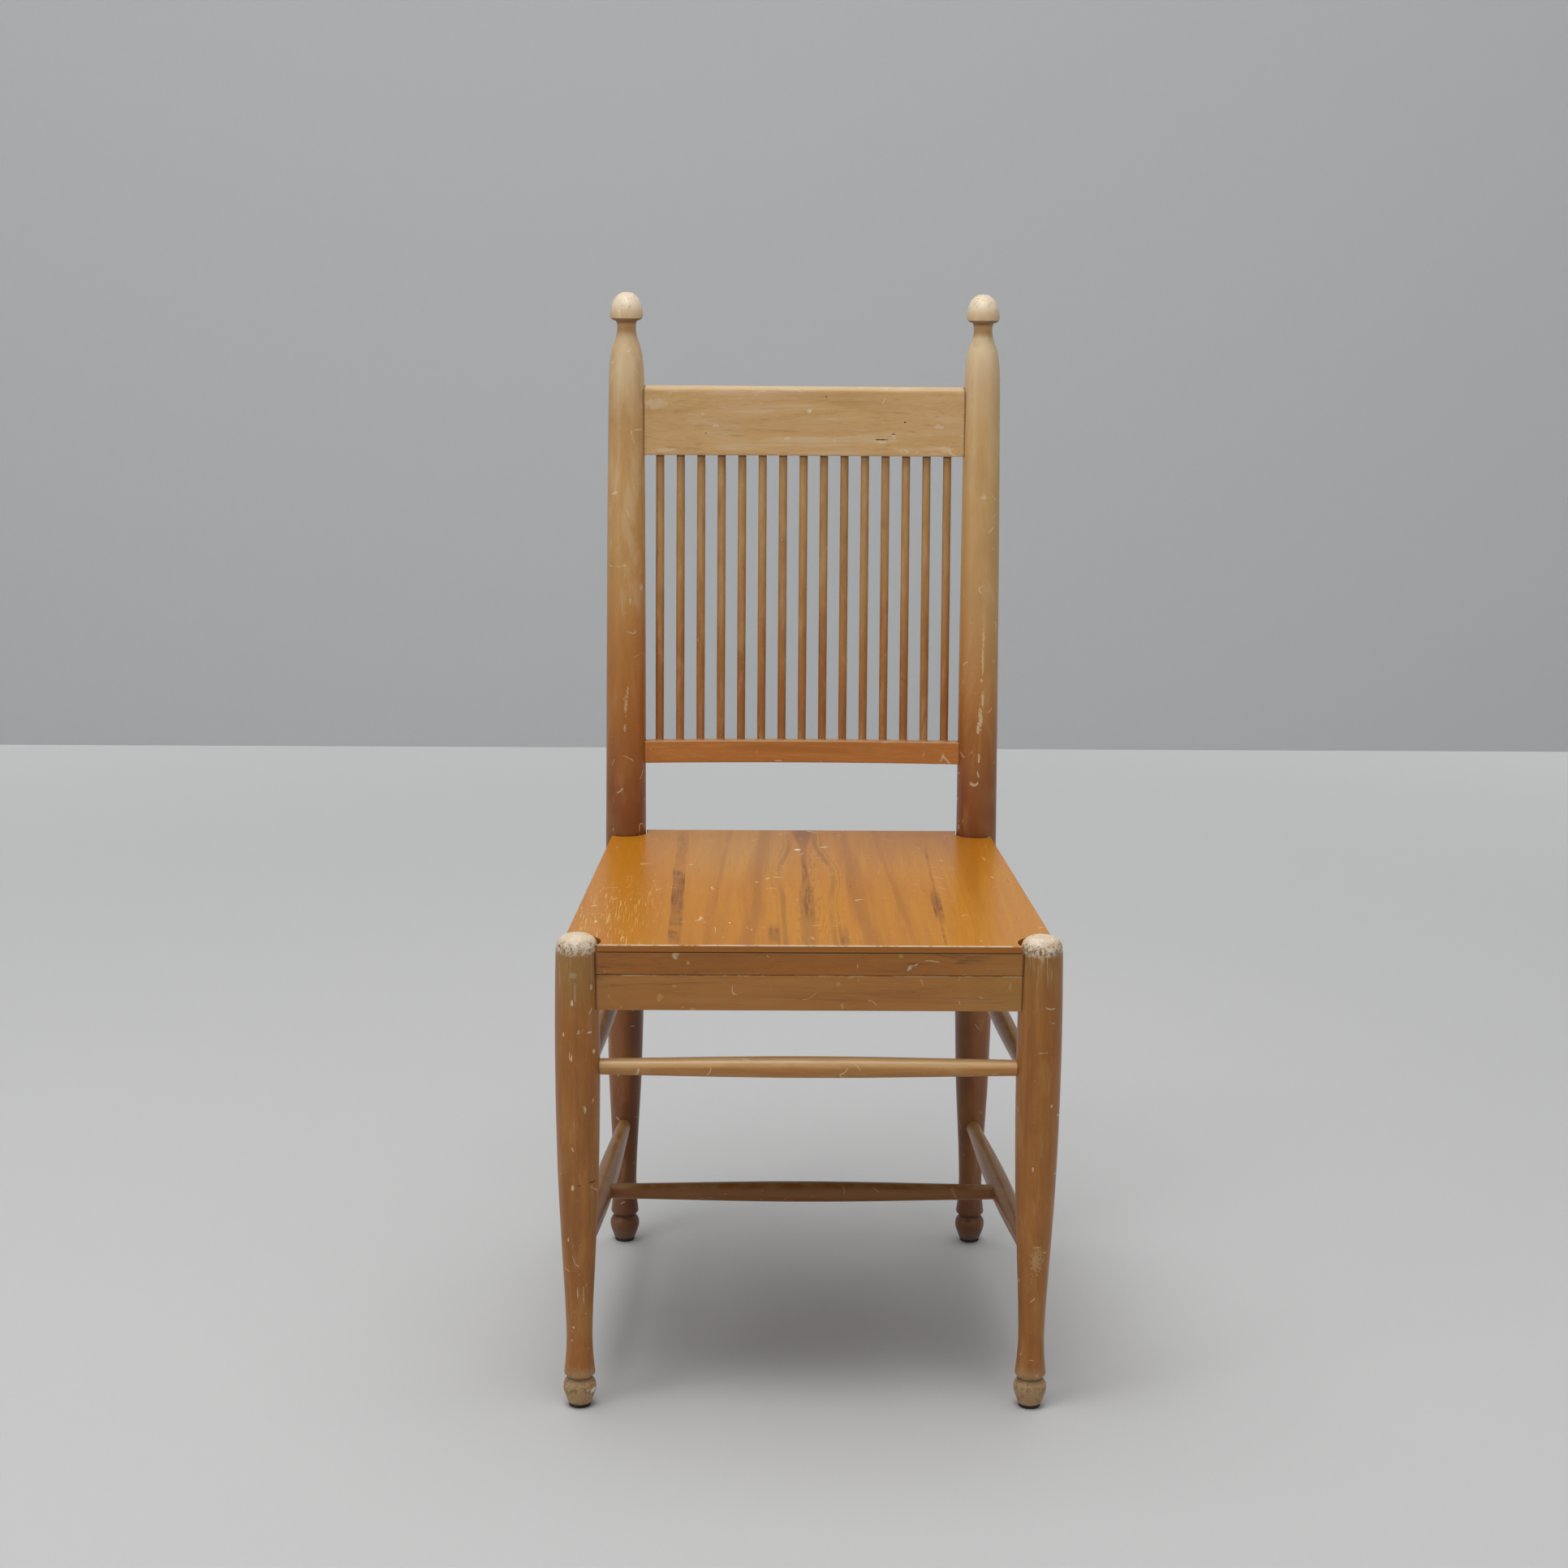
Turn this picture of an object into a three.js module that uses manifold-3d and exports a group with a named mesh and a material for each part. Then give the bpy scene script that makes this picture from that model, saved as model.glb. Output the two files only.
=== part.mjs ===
// A spindle-back dining chair of turned, varnished wood with a flat veneered seat.
// Millimetres. X runs across the chair, the sitter faces -Y, Z is up.
import * as THREE from 'three';
import { mergeVertices } from 'three/addons/utils/BufferGeometryUtils.js';
import Module from 'manifold-3d';

const wasm = await Module();
wasm.setup();

// Joint clearance
const CLEARANCE = 0.3;
const OVERCUT = 4;

// Places of the legs
const SEAT_HEIGHT = 450;
const FRONT_SPREAD = 421;
const REAR_SPREAD = 361.2;
const LEG_DEPTH = 412;
const FRONT_X = FRONT_SPREAD / 2;
const REAR_X = REAR_SPREAD / 2;
const FRONT_Y = -LEG_DEPTH / 2;
const REAR_Y = LEG_DEPTH / 2;
const REAR_SPLAY_X = 3.2;
const REAR_SPLAY_Y = 10.6;
const BACK_RAKE = THREE.MathUtils.degToRad(6.4);
const BEND_HALF = 30;

// Turning
const LEG_SIDES = 16;
const STRETCHER_SIDES = 12;
const SPINDLE_SIDES = 10;
const GLIDE_SIDES = 12;
const SCREW_SIDES = 10;

// Glides
const GLIDE_RADIUS = 10.2;
const GLIDE_HEIGHT = 3.5;
const GLIDE_CHAMFER = 0.6;
const GLIDE_PEG_RADIUS = 3;
const GLIDE_PEG_LENGTH = 14;

// Foot and shank of every leg: [radius, height]
const FOOT_BOTTOM = GLIDE_HEIGHT + CLEARANCE;
const FOOT_PROFILE = [
  [10.9, FOOT_BOTTOM], [12.4, 8], [14.2, 13], [15.2, 17], [15.3, 20.5], [14.5, 24.2],
  [12.5, 27], [11.7, 29], [12.6, 30.6], [14.4, 32.6], [14.1, 37], [13.1, 47],
  [12.3, 60], [12.1, 72], [12.6, 90], [13.3, 108], [15.2, 145], [17.2, 186],
];

// Shanks: [radius, share of the way from the top of the foot's profile up to the seat]
const FRONT_SHANK = [[18.8, 0.15], [19.8, 0.3], [20.4, 0.45], [20.6, 0.6], [20.4, 0.75]];
const REAR_SHANK = [[18.2, 0.15], [19.2, 0.32], [19.9, 0.55], [20.4, 0.8]];

// Domed top of a front leg: [radius, height above the seat]
const LEG_TOP_RADIUS = 19.4;
const LEG_DOME = [
  [19.8, -30], [LEG_TOP_RADIUS, -12], [19.1, -6], [18, -0.5], [15.3, 3.3], [11, 5.8],
  [6, 6.9], [0, 7.2],
];

// Rear post from the seat to the crest rail's top: [radius, share of the way]
const POST_SEAT_RADIUS = 20.6;
const POST_SHAFT = [
  [POST_SEAT_RADIUS, 0], [20.4, 0.08], [20.15, 0.32], [19.55, 0.6], [19.05, 0.78],
];

// Shoulder, neck and acorn cap of a rear post: [radius, distance above the crest rail's top]
const FINIAL = [
  [18, 4.3], [17.8, 12.3], [16.9, 24.3], [14.7, 36.8], [11.9, 44.8], [10.2, 51.3],
  [9.4, 56.3], [9.8, 61.3], [11.2, 65.3], [15.4, 66.9], [16.7, 68.8], [16.8, 70.8],
  [16.3, 74.8], [14.8, 81.3], [12.8, 85.8], [10, 89.3], [6, 91.9], [0, 92.9],
];

// Back rails, measured along the raked back from the seat
const RAIL_BOW = 14;
const RAIL_STEPS = 8;
const RAIL_INSET = 8;
const CREST_BOTTOM = 386.3;
const CREST_HEIGHT = 70.4;
const CREST_THICKNESS = 19;
const CREST_ROUND = 7;
const CREST_EASE = 1.5;
const LOWER_RAIL_BOTTOM = 71.9;
const LOWER_RAIL_HEIGHT = 22.6;
const LOWER_RAIL_THICKNESS = 21;
const LOWER_RAIL_EASE = 1.2;

// Spindles
const SPINDLE_COUNT = 15;
const SPINDLE_FROM_POST = 34.3;
const SPINDLE_RADIUS = 4.3;
const SPINDLE_CREST_DEPTH = 14;
const SPINDLE_LOWER_DEPTH = 12;

// Seat panel
const PANEL_THICKNESS = 7;
const PANEL_EASE = 1;
const PANEL_FRONT_LIP = 11.5;
const PANEL_REAR_LIP = 8;
const PANEL_FRONT_Y = FRONT_Y - PANEL_FRONT_LIP;
const PANEL_REAR_Y = REAR_Y + PANEL_REAR_LIP;
const PANEL_OUTBOARD = 12.4;
const FRONT_NOTCH_GAP = 2.5;
const REAR_NOTCH_GAP = 2;
const NOTCH_STEPS = 10;

// Aprons under the panel
const APRON_TOP = SEAT_HEIGHT - PANEL_THICKNESS - CLEARANCE;
const APRON_THICKNESS = 22;
const UPPER_BOARD_HEIGHT = 20.4;
const LOWER_BOARD_HEIGHT = 33;
const SEAM_GAP = 0.7;
const UPPER_BOARD_BOTTOM = APRON_TOP - UPPER_BOARD_HEIGHT;
const LOWER_BOARD_TOP = UPPER_BOARD_BOTTOM - SEAM_GAP;
const APRON_BOTTOM = LOWER_BOARD_TOP - LOWER_BOARD_HEIGHT;
const SHOULDER_INSET = 10;
const TENON_INSET = 6;
const TENON_THICKNESS = 9;
const TENON_SHOULDER = 4;

// Stretchers: radius at the ends and in the middle, height, and depth of the sockets
const FRONT_STRETCHER = { end: 7.3, middle: 9.9 };
const UPPER_SIDE_STRETCHER = { end: 7, middle: 9.4 };
const LOWER_SIDE_STRETCHER = { end: 7, middle: 11.3 };
const CROSS_STRETCHER = { end: 7.3, middle: 10.1 };
const FRONT_STRETCHER_DROP = 57.1;
const FRONT_STRETCHER_Z = APRON_BOTTOM - FRONT_STRETCHER_DROP;
const UPPER_SIDE_DROP = 22.5;
const UPPER_SIDE_Z = FRONT_STRETCHER_Z - UPPER_SIDE_DROP;
const LOWER_SIDE_FRONT_Z = 143;
const LOWER_SIDE_REAR_Z = 132;
const CROSS_Y = -9;
const SWELL_STEPS = 8;
const SWELL_POWER = 1.5;
const STRETCHER_REACH = 3;
const CROSS_REACH = 1.5;
const SOCKET_EASE = 0.35;
const SOCKET_DEPTH = 60;

// Corner blocks and their screws
const BLOCK_LEG = 46;
const BLOCK_HEIGHT = 24;
const BLOCK_INSET = 0.5;
const SCREW_RADIUS = 2;
const SCREW_HEAD_RADIUS = 4;
const SCREW_HEAD_HEIGHT = 2.6;
const SCREW_COVER = 1.8;
const SCREW_BITE = PANEL_THICKNESS - SCREW_COVER;
const SCREW_POINT = 1.5;
const SCREW_SINK = 0.4;
const SCREW_FROM_LEG = 31;

const SIDES = [['left', -1], ['right', 1]];

// Solids and meshes

function solid(geometry) {
  const bare = geometry.clone();
  bare.deleteAttribute('normal');
  bare.deleteAttribute('uv');
  const merged = mergeVertices(bare, 1e-4);
  const index = merged.index.array;
  const kept = [];
  for (let i = 0; i < index.length; i += 3) {
    const [a, b, c] = [index[i], index[i + 1], index[i + 2]];
    if (a !== b && b !== c && c !== a) kept.push(a, b, c);
  }
  const position = merged.attributes.position;
  const triVerts = Uint32Array.from(kept);
  if (signedVolume(position, triVerts) < 0) triVerts.reverse();
  const vertProperties = Float32Array.from(position.array);
  return new wasm.Manifold(new wasm.Mesh({ numProp: 3, vertProperties, triVerts }));
}

function signedVolume(position, index) {
  const a = new THREE.Vector3();
  const b = new THREE.Vector3();
  const c = new THREE.Vector3();
  let total = 0;
  for (let i = 0; i < index.length; i += 3) {
    a.fromBufferAttribute(position, index[i]);
    b.fromBufferAttribute(position, index[i + 1]);
    c.fromBufferAttribute(position, index[i + 2]);
    total += a.dot(b.cross(c));
  }
  return total;
}

function cut(body, tools) {
  return tools.reduce((left, tool) => left.subtract(tool), body);
}

function node(name, body, finish) {
  const mesh = body.getMesh();
  const geometry = new THREE.BufferGeometry();
  geometry.setAttribute('position', new THREE.BufferAttribute(mesh.vertProperties, 3));
  geometry.setIndex(new THREE.BufferAttribute(mesh.triVerts, 1));
  geometry.computeVertexNormals();
  const piece = new THREE.Mesh(geometry, finish());
  piece.name = name;
  return piece;
}

// Finishes

function varnish(color, roughness) {
  return () => new THREE.MeshStandardMaterial({ color, roughness, metalness: 0 });
}

const honeyVarnish = varnish('#a87440', 0.45);
const bleachedVarnish = varnish('#b08d62', 0.55);
const postVarnish = varnish('#a67847', 0.45);
const apronVarnish = varnish('#8d6337', 0.45);
const spindleVarnish = varnish('#94693c', 0.5);
const stretcherVarnish = varnish('#9a6a3b', 0.45);
const seatVeneer = varnish('#b4742e', 0.3);
const bareBeech = varnish('#b79a70', 0.75);
const blackPlastic = varnish('#1d1a18', 0.6);

function zincSteel() {
  return new THREE.MeshStandardMaterial({ color: '#a3a39d', roughness: 0.4, metalness: 0.9 });
}

// Turned shapes stand on their own axis, which is Z, before they are placed

function turned(profile, sides) {
  const points = profile.map(([radius, height]) => new THREE.Vector2(radius, height));
  return new THREE.LatheGeometry(points, sides).rotateX(Math.PI / 2);
}

function grown(profile, by) {
  const last = profile.length - 1;
  return profile.map(([radius, height], i) => {
    if (i === 0) return [radius, height - by];
    if (i === last) return [radius, height + by];
    return [radius + by, height];
  });
}

function along(geometry, from, to) {
  const direction = to.clone().sub(from).normalize();
  const turn = new THREE.Quaternion().setFromUnitVectors(new THREE.Vector3(0, 0, 1), direction);
  return geometry.applyQuaternion(turn).translate(from.x, from.y, from.z);
}

function rod(from, to, radius, sides) {
  const length = from.distanceTo(to);
  return along(turned([[0, 0], [radius, 0], [radius, length], [0, length]], sides), from, to);
}

// Points a set distance in from each end of a line
function inset(from, to, start, end) {
  const length = from.distanceTo(to);
  const first = from.clone().lerp(to, start / length);
  const last = from.clone().lerp(to, 1 - end / length);
  return [first, last];
}

// Legs

// A shank's points between the top of the foot's profile and a height above it
function shank(points, top) {
  const start = FOOT_PROFILE[FOOT_PROFILE.length - 1][1];
  return points.map(([radius, share]) => [radius, start + (top - start) * share]);
}

const FRONT_LEG_PROFILE = [
  [0, FOOT_BOTTOM], ...FOOT_PROFILE, ...shank(FRONT_SHANK, SEAT_HEIGHT),
  ...LEG_DOME.map(([radius, height]) => [radius, SEAT_HEIGHT + height]),
];

function frontLegAt(side, z) {
  return new THREE.Vector3(side * FRONT_X, FRONT_Y, z);
}

function frontLegBody(side, by = 0) {
  const geometry = turned(grown(FRONT_LEG_PROFILE, by), LEG_SIDES);
  return solid(geometry.translate(side * FRONT_X, FRONT_Y, 0));
}

function rearFoot(side) {
  return new THREE.Vector3(side * (REAR_X + REAR_SPLAY_X), REAR_Y + REAR_SPLAY_Y, 0);
}

function rearKnee(side) {
  return new THREE.Vector3(side * REAR_X, REAR_Y, SEAT_HEIGHT);
}

const SHANK_LENGTH = rearFoot(1).distanceTo(rearKnee(1));

// The axis of a rear post: centre and direction at a length above the floor
function rearAxis(side, length) {
  const foot = rearFoot(side);
  const knee = rearKnee(side);
  const below = knee.clone().sub(foot).normalize();
  const above = new THREE.Vector3(0, Math.sin(BACK_RAKE), Math.cos(BACK_RAKE));
  const over = length - SHANK_LENGTH;
  if (over <= -BEND_HALF) return [foot.addScaledVector(below, length), below];
  if (over >= BEND_HALF) return [knee.addScaledVector(above, over), above];
  const start = knee.clone().addScaledVector(below, -BEND_HALF);
  const finish = knee.clone().addScaledVector(above, BEND_HALF);
  const bend = new THREE.QuadraticBezierCurve3(start, knee, finish);
  const share = (over + BEND_HALF) / (2 * BEND_HALF);
  return [bend.getPoint(share), bend.getTangent(share).normalize()];
}

function rearLegAt(side, z) {
  return rearFoot(side).lerp(rearKnee(side), z / SEAT_HEIGHT);
}

const CREST_TOP = CREST_BOTTOM + CREST_HEIGHT;
const POST_PROFILE = [
  [0, FOOT_BOTTOM], ...FOOT_PROFILE, ...shank(REAR_SHANK, SHANK_LENGTH),
  ...POST_SHAFT.map(([radius, share]) => [radius, SHANK_LENGTH + CREST_TOP * share]),
  ...FINIAL.map(([radius, distance]) => [radius, SHANK_LENGTH + CREST_TOP + distance]),
];

function rearPostBody(side, by = 0) {
  const geometry = turned(grown(POST_PROFILE, by), LEG_SIDES);
  const position = geometry.attributes.position;
  const across = new THREE.Vector3();
  const back = new THREE.Vector3();
  for (let i = 0; i < position.count; i += 1) {
    const [centre, direction] = rearAxis(side, position.getZ(i));
    across.set(1, 0, 0).addScaledVector(direction, -direction.x).normalize();
    back.crossVectors(direction, across);
    centre.addScaledVector(across, position.getX(i)).addScaledVector(back, position.getY(i));
    position.setXYZ(i, centre.x, centre.y, centre.z);
  }
  const foot = rearFoot(side);
  const size = 4 * POST_SEAT_RADIUS;
  const ground = new THREE.BoxGeometry(size, size, size).translate(
    foot.x, foot.y, FOOT_BOTTOM - size / 2);
  return solid(geometry).subtract(solid(ground));
}

function glide(x, y, by = 0) {
  const radius = GLIDE_RADIUS;
  const peg = GLIDE_PEG_RADIUS + by;
  const tip = GLIDE_HEIGHT + GLIDE_PEG_LENGTH + by;
  const profile = [
    [0, 0], [radius - GLIDE_CHAMFER, 0], [radius, GLIDE_CHAMFER],
    [radius, GLIDE_HEIGHT], [peg, GLIDE_HEIGHT], [peg, tip], [0, tip],
  ];
  return solid(turned(profile, GLIDE_SIDES).translate(x, y, 0));
}

// Boards stand on edge between two legs

function board(from, to, { reach, bottom, top, thickness, by = 0 }) {
  const run = to.clone().sub(from);
  const length = Math.hypot(run.x, run.y) - 2 * (reach - by);
  const height = top - bottom + 2 * by;
  const geometry = new THREE.BoxGeometry(length, thickness + 2 * by, height);
  geometry.rotateZ(Math.atan2(run.y, run.x));
  const middle = from.clone().add(to).multiplyScalar(0.5);
  return solid(geometry.translate(middle.x, middle.y, (bottom + top) / 2));
}

function tenons(ends, bottom, top, by = 0) {
  const low = bottom + TENON_SHOULDER;
  const high = top - TENON_SHOULDER;
  const size = { reach: TENON_INSET, bottom: low, top: high, thickness: TENON_THICKNESS, by };
  return board(ends[0], ends[1], size);
}

const FRONT_ENDS = [frontLegAt(-1, 0), frontLegAt(1, 0)];
const REAR_ENDS = [rearLegAt(-1, APRON_TOP), rearLegAt(1, APRON_TOP)];
const sideEnds = (side) => [frontLegAt(side, 0), rearLegAt(side, APRON_TOP)];

// Each apron board: name, the pair of points that it runs between, bottom and top
const APRONS = [
  ['front_apron_lower', FRONT_ENDS, APRON_BOTTOM, LOWER_BOARD_TOP],
  ['front_apron_upper', FRONT_ENDS, UPPER_BOARD_BOTTOM, APRON_TOP],
  ['rear_apron', REAR_ENDS, APRON_BOTTOM, APRON_TOP],
  ...SIDES.map(([word, side]) => [`side_apron_${word}`, sideEnds(side), APRON_BOTTOM, APRON_TOP]),
];

function apron([, ends, bottom, top], grownLegs) {
  const size = { reach: SHOULDER_INSET, bottom, top, thickness: APRON_THICKNESS };
  const body = cut(board(ends[0], ends[1], size), grownLegs);
  return body.add(tenons(ends, bottom, top));
}

// Back rails lie in the raked plane of the posts and bow backwards

// From across, back and up in the raked plane to the chair's own axes
function inBack(across, back, up) {
  const sin = Math.sin(BACK_RAKE);
  const cos = Math.cos(BACK_RAKE);
  return new THREE.Vector3(
    across, REAR_Y + back * cos + up * sin, SEAT_HEIGHT - back * sin + up * cos);
}

function bow(across) {
  return RAIL_BOW * (1 - (across / REAR_X) ** 2);
}

function railSection(bottom, height, thickness, round, ease, by) {
  const half = thickness / 2 + by;
  const low = bottom - by;
  const high = bottom + height + by;
  const section = new THREE.Shape();
  section.moveTo(-half + ease, low);
  section.lineTo(half - ease, low);
  section.lineTo(half, low + ease);
  section.lineTo(half, high - round);
  section.absarc(half - round, high - round, round, 0, Math.PI / 2, false);
  section.lineTo(-half + round, high);
  section.absarc(-half + round, high - round, round, Math.PI / 2, Math.PI, false);
  section.lineTo(-half, low + ease);
  section.closePath();
  return section;
}

function rail({ bottom, height, thickness, round, ease }, by = 0) {
  const section = railSection(bottom, height, thickness, round, ease, by);
  const length = 2 * (REAR_X - RAIL_INSET + by);
  const geometry = new THREE.ExtrudeGeometry(section, {
    depth: length, steps: RAIL_STEPS, bevelEnabled: false, curveSegments: 3,
  });
  const position = geometry.attributes.position;
  for (let i = 0; i < position.count; i += 1) {
    const across = position.getZ(i) - length / 2;
    const back = position.getX(i) + bow(across);
    const place = inBack(across, back, position.getY(i));
    position.setXYZ(i, place.x, place.y, place.z);
  }
  return solid(geometry);
}

const CREST = {
  bottom: CREST_BOTTOM, height: CREST_HEIGHT, thickness: CREST_THICKNESS,
  round: CREST_ROUND, ease: CREST_EASE,
};
const LOWER_RAIL = {
  bottom: LOWER_RAIL_BOTTOM, height: LOWER_RAIL_HEIGHT, thickness: LOWER_RAIL_THICKNESS,
  round: LOWER_RAIL_EASE, ease: LOWER_RAIL_EASE,
};

function spindle(index, by = 0) {
  const last = SPINDLE_COUNT - 1;
  const across = (2 * index / last - 1) * (REAR_X - SPINDLE_FROM_POST);
  const low = LOWER_RAIL_BOTTOM + LOWER_RAIL_HEIGHT - SPINDLE_LOWER_DEPTH - by;
  const high = CREST_BOTTOM + SPINDLE_CREST_DEPTH + by;
  const back = bow(across);
  const geometry = rod(
    inBack(across, back, low), inBack(across, back, high), SPINDLE_RADIUS + by, SPINDLE_SIDES);
  return solid(geometry);
}

// Stretchers swell in the middle and run straight into sockets in the legs

function stretcher(from, to, { end, middle }, sides = STRETCHER_SIDES) {
  const length = from.distanceTo(to);
  const profile = [[0, 0]];
  for (let i = 0; i <= SWELL_STEPS; i += 1) {
    const share = i / SWELL_STEPS;
    const swell = Math.sin(Math.PI * share) ** SWELL_POWER;
    profile.push([end + (middle - end) * swell, length * share]);
  }
  profile.push([0, length]);
  return solid(along(turned(profile, sides), from, to));
}

// The holes for both ends: a little wider and deeper than the stretcher's end
function sockets(from, to, { end }, depth) {
  const [deepFrom, deepTo] = inset(from, to, -CLEARANCE, -CLEARANCE);
  const [openFrom, openTo] = inset(from, to, depth, depth);
  const radius = end + CLEARANCE + SOCKET_EASE;
  return [
    solid(rod(deepFrom, openFrom, radius, STRETCHER_SIDES)),
    solid(rod(openTo, deepTo, radius, STRETCHER_SIDES)),
  ];
}

const FRONT_SPAN = inset(
  frontLegAt(-1, FRONT_STRETCHER_Z), frontLegAt(1, FRONT_STRETCHER_Z),
  STRETCHER_REACH, STRETCHER_REACH);

function upperSideSpan(side) {
  return inset(
    frontLegAt(side, UPPER_SIDE_Z), rearLegAt(side, UPPER_SIDE_Z),
    STRETCHER_REACH, STRETCHER_REACH);
}

function lowerSideAxis(side) {
  return [frontLegAt(side, LOWER_SIDE_FRONT_Z), rearLegAt(side, LOWER_SIDE_REAR_Z)];
}

function lowerSideSpan(side) {
  const [from, to] = lowerSideAxis(side);
  return inset(from, to, STRETCHER_REACH, STRETCHER_REACH);
}

function crossPoint(side) {
  const [from, to] = lowerSideAxis(side);
  return from.lerp(to, (CROSS_Y - from.y) / (to.y - from.y));
}

const CROSS_SPAN = inset(crossPoint(-1), crossPoint(1), CROSS_REACH, CROSS_REACH);

// Seat panel: a flat sheet with rounded notches for the four legs

// Angle of the point where a notch circle meets the straight side of the panel: the side
// runs from leg to leg, moved outboard
function sideAngle(radius, turn) {
  const [front, rear] = sideEnds(1);
  const run = rear.clone().sub(front).setZ(0).normalize();
  const distance = PANEL_OUTBOARD * run.y;
  return Math.atan2(-run.x, run.y) + turn * Math.acos(distance / radius);
}

function notch(centre, radius, from, to) {
  const points = [];
  for (let i = 0; i <= NOTCH_STEPS; i += 1) {
    const angle = from + (to - from) * i / NOTCH_STEPS;
    points.push(new THREE.Vector2(
      centre.x + radius * Math.cos(angle), centre.y + radius * Math.sin(angle)));
  }
  return points;
}

function seatPanel() {
  const [frontLeg, rearLeg] = sideEnds(1);
  const frontRadius = LEG_TOP_RADIUS + FRONT_NOTCH_GAP;
  const rearRadius = POST_SEAT_RADIUS + REAR_NOTCH_GAP;
  const frontIn = Math.PI - Math.asin((PANEL_FRONT_Y - frontLeg.y) / frontRadius);
  const rearIn = -Math.PI - Math.asin((PANEL_REAR_Y - rearLeg.y) / rearRadius);
  const right = [
    ...notch(frontLeg, frontRadius, frontIn, sideAngle(frontRadius, 1)),
    ...notch(rearLeg, rearRadius, sideAngle(rearRadius, -1), rearIn),
  ];
  const left = right.map((point) => new THREE.Vector2(-point.x, point.y)).reverse();
  const outline = new THREE.Shape([...right, ...left]);
  const geometry = new THREE.ExtrudeGeometry(outline, {
    depth: PANEL_THICKNESS - 2 * PANEL_EASE, bevelEnabled: true, bevelSegments: 1,
    bevelSize: PANEL_EASE, bevelThickness: PANEL_EASE, bevelOffset: -PANEL_EASE,
  });
  return solid(geometry.translate(0, 0, SEAT_HEIGHT - PANEL_THICKNESS + PANEL_EASE));
}

// Corner blocks: three-cornered pieces glued inside the aprons

const BLOCK_BOTTOM = APRON_TOP - CLEARANCE - BLOCK_HEIGHT;

// The corner's leg, and the directions along its end apron and its side apron
function corner(end, side) {
  const [front, rear] = sideEnds(side);
  const run = rear.clone().sub(front).setZ(0).normalize();
  if (end === 'front') return [front, new THREE.Vector3(-side, 0, 0), run];
  return [rear, new THREE.Vector3(-side, 0, 0), run.negate()];
}

function cornerBlock(end, side, grownLegs) {
  const [leg, inward, run] = corner(end, side);
  const off = APRON_THICKNESS / 2 + BLOCK_INSET;
  const root = leg.clone().addScaledVector(inward, off).addScaledVector(run, off);
  const first = root.clone().addScaledVector(inward, BLOCK_LEG);
  const second = root.clone().addScaledVector(run, BLOCK_LEG);
  const outline = new THREE.Shape([root, first, second].map((p) => new THREE.Vector2(p.x, p.y)));
  const geometry = new THREE.ExtrudeGeometry(outline, { depth: BLOCK_HEIGHT, bevelEnabled: false });
  return cut(solid(geometry.translate(0, 0, BLOCK_BOTTOM)), grownLegs);
}

function screwFoot(end, side) {
  const [leg, inward, run] = corner(end, side);
  const toward = inward.clone().add(run).normalize();
  const place = leg.clone().addScaledVector(toward, SCREW_FROM_LEG);
  return new THREE.Vector3(place.x, place.y, BLOCK_BOTTOM + SCREW_SINK);
}

function seatScrew(end, side, by = 0) {
  const foot = screwFoot(end, side);
  const tip = APRON_TOP + CLEARANCE + SCREW_BITE + by - foot.z;
  const open = by > 0 ? OVERCUT : 0;
  const neck = SCREW_HEAD_HEIGHT;
  const profile = [
    [0, -open], [SCREW_HEAD_RADIUS + by, -open], [SCREW_HEAD_RADIUS + by, 0],
    [SCREW_RADIUS + by, neck], [SCREW_RADIUS + by, tip - SCREW_POINT], [0, tip],
  ];
  if (by === 0) profile.splice(1, 1);
  return solid(turned(profile, SCREW_SIDES).translate(foot.x, foot.y, foot.z));
}

// Assembly

const CORNERS = ['front', 'rear'].flatMap((end) => SIDES.map(([word, side]) => [end, word, side]));

function screwHoles() {
  return CORNERS.map(([end, , side]) => seatScrew(end, side, CLEARANCE));
}

function legSockets(side) {
  const pick = side < 0 ? 0 : 1;
  const depth = SOCKET_DEPTH;
  const mortise = ([, ends, bottom, top]) => tenons(ends, bottom, top, CLEARANCE);
  const aprons = APRONS.map(mortise);
  const [upperFront, upperRear] = sockets(...upperSideSpan(side), UPPER_SIDE_STRETCHER, depth);
  const [lowerFront, lowerRear] = sockets(...lowerSideSpan(side), LOWER_SIDE_STRETCHER, depth);
  const frontHole = sockets(...FRONT_SPAN, FRONT_STRETCHER, depth)[pick];
  const [, , rear, ...sideBoards] = aprons;
  return {
    front: [aprons[0], aprons[1], sideBoards[pick], frontHole, upperFront, lowerFront],
    rear: [rear, sideBoards[pick], upperRear, lowerRear],
  };
}

function addFrame(pieces) {
  for (const [word, side] of SIDES) {
    const holes = legSockets(side);
    const frontLeg = cut(frontLegBody(side), [
      ...holes.front, glide(side * FRONT_X, FRONT_Y, CLEARANCE)]);
    const foot = rearFoot(side);
    const rearPost = cut(rearPostBody(side), [
      ...holes.rear, glide(foot.x, foot.y, CLEARANCE),
      rail(CREST, CLEARANCE), rail(LOWER_RAIL, CLEARANCE)]);
    pieces.push(node(`front_leg_${word}`, frontLeg, honeyVarnish));
    pieces.push(node(`rear_post_${word}`, rearPost, postVarnish));
    pieces.push(node(`front_glide_${word}`, glide(side * FRONT_X, FRONT_Y), blackPlastic));
    pieces.push(node(`rear_glide_${word}`, glide(foot.x, foot.y), blackPlastic));
  }
}

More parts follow.
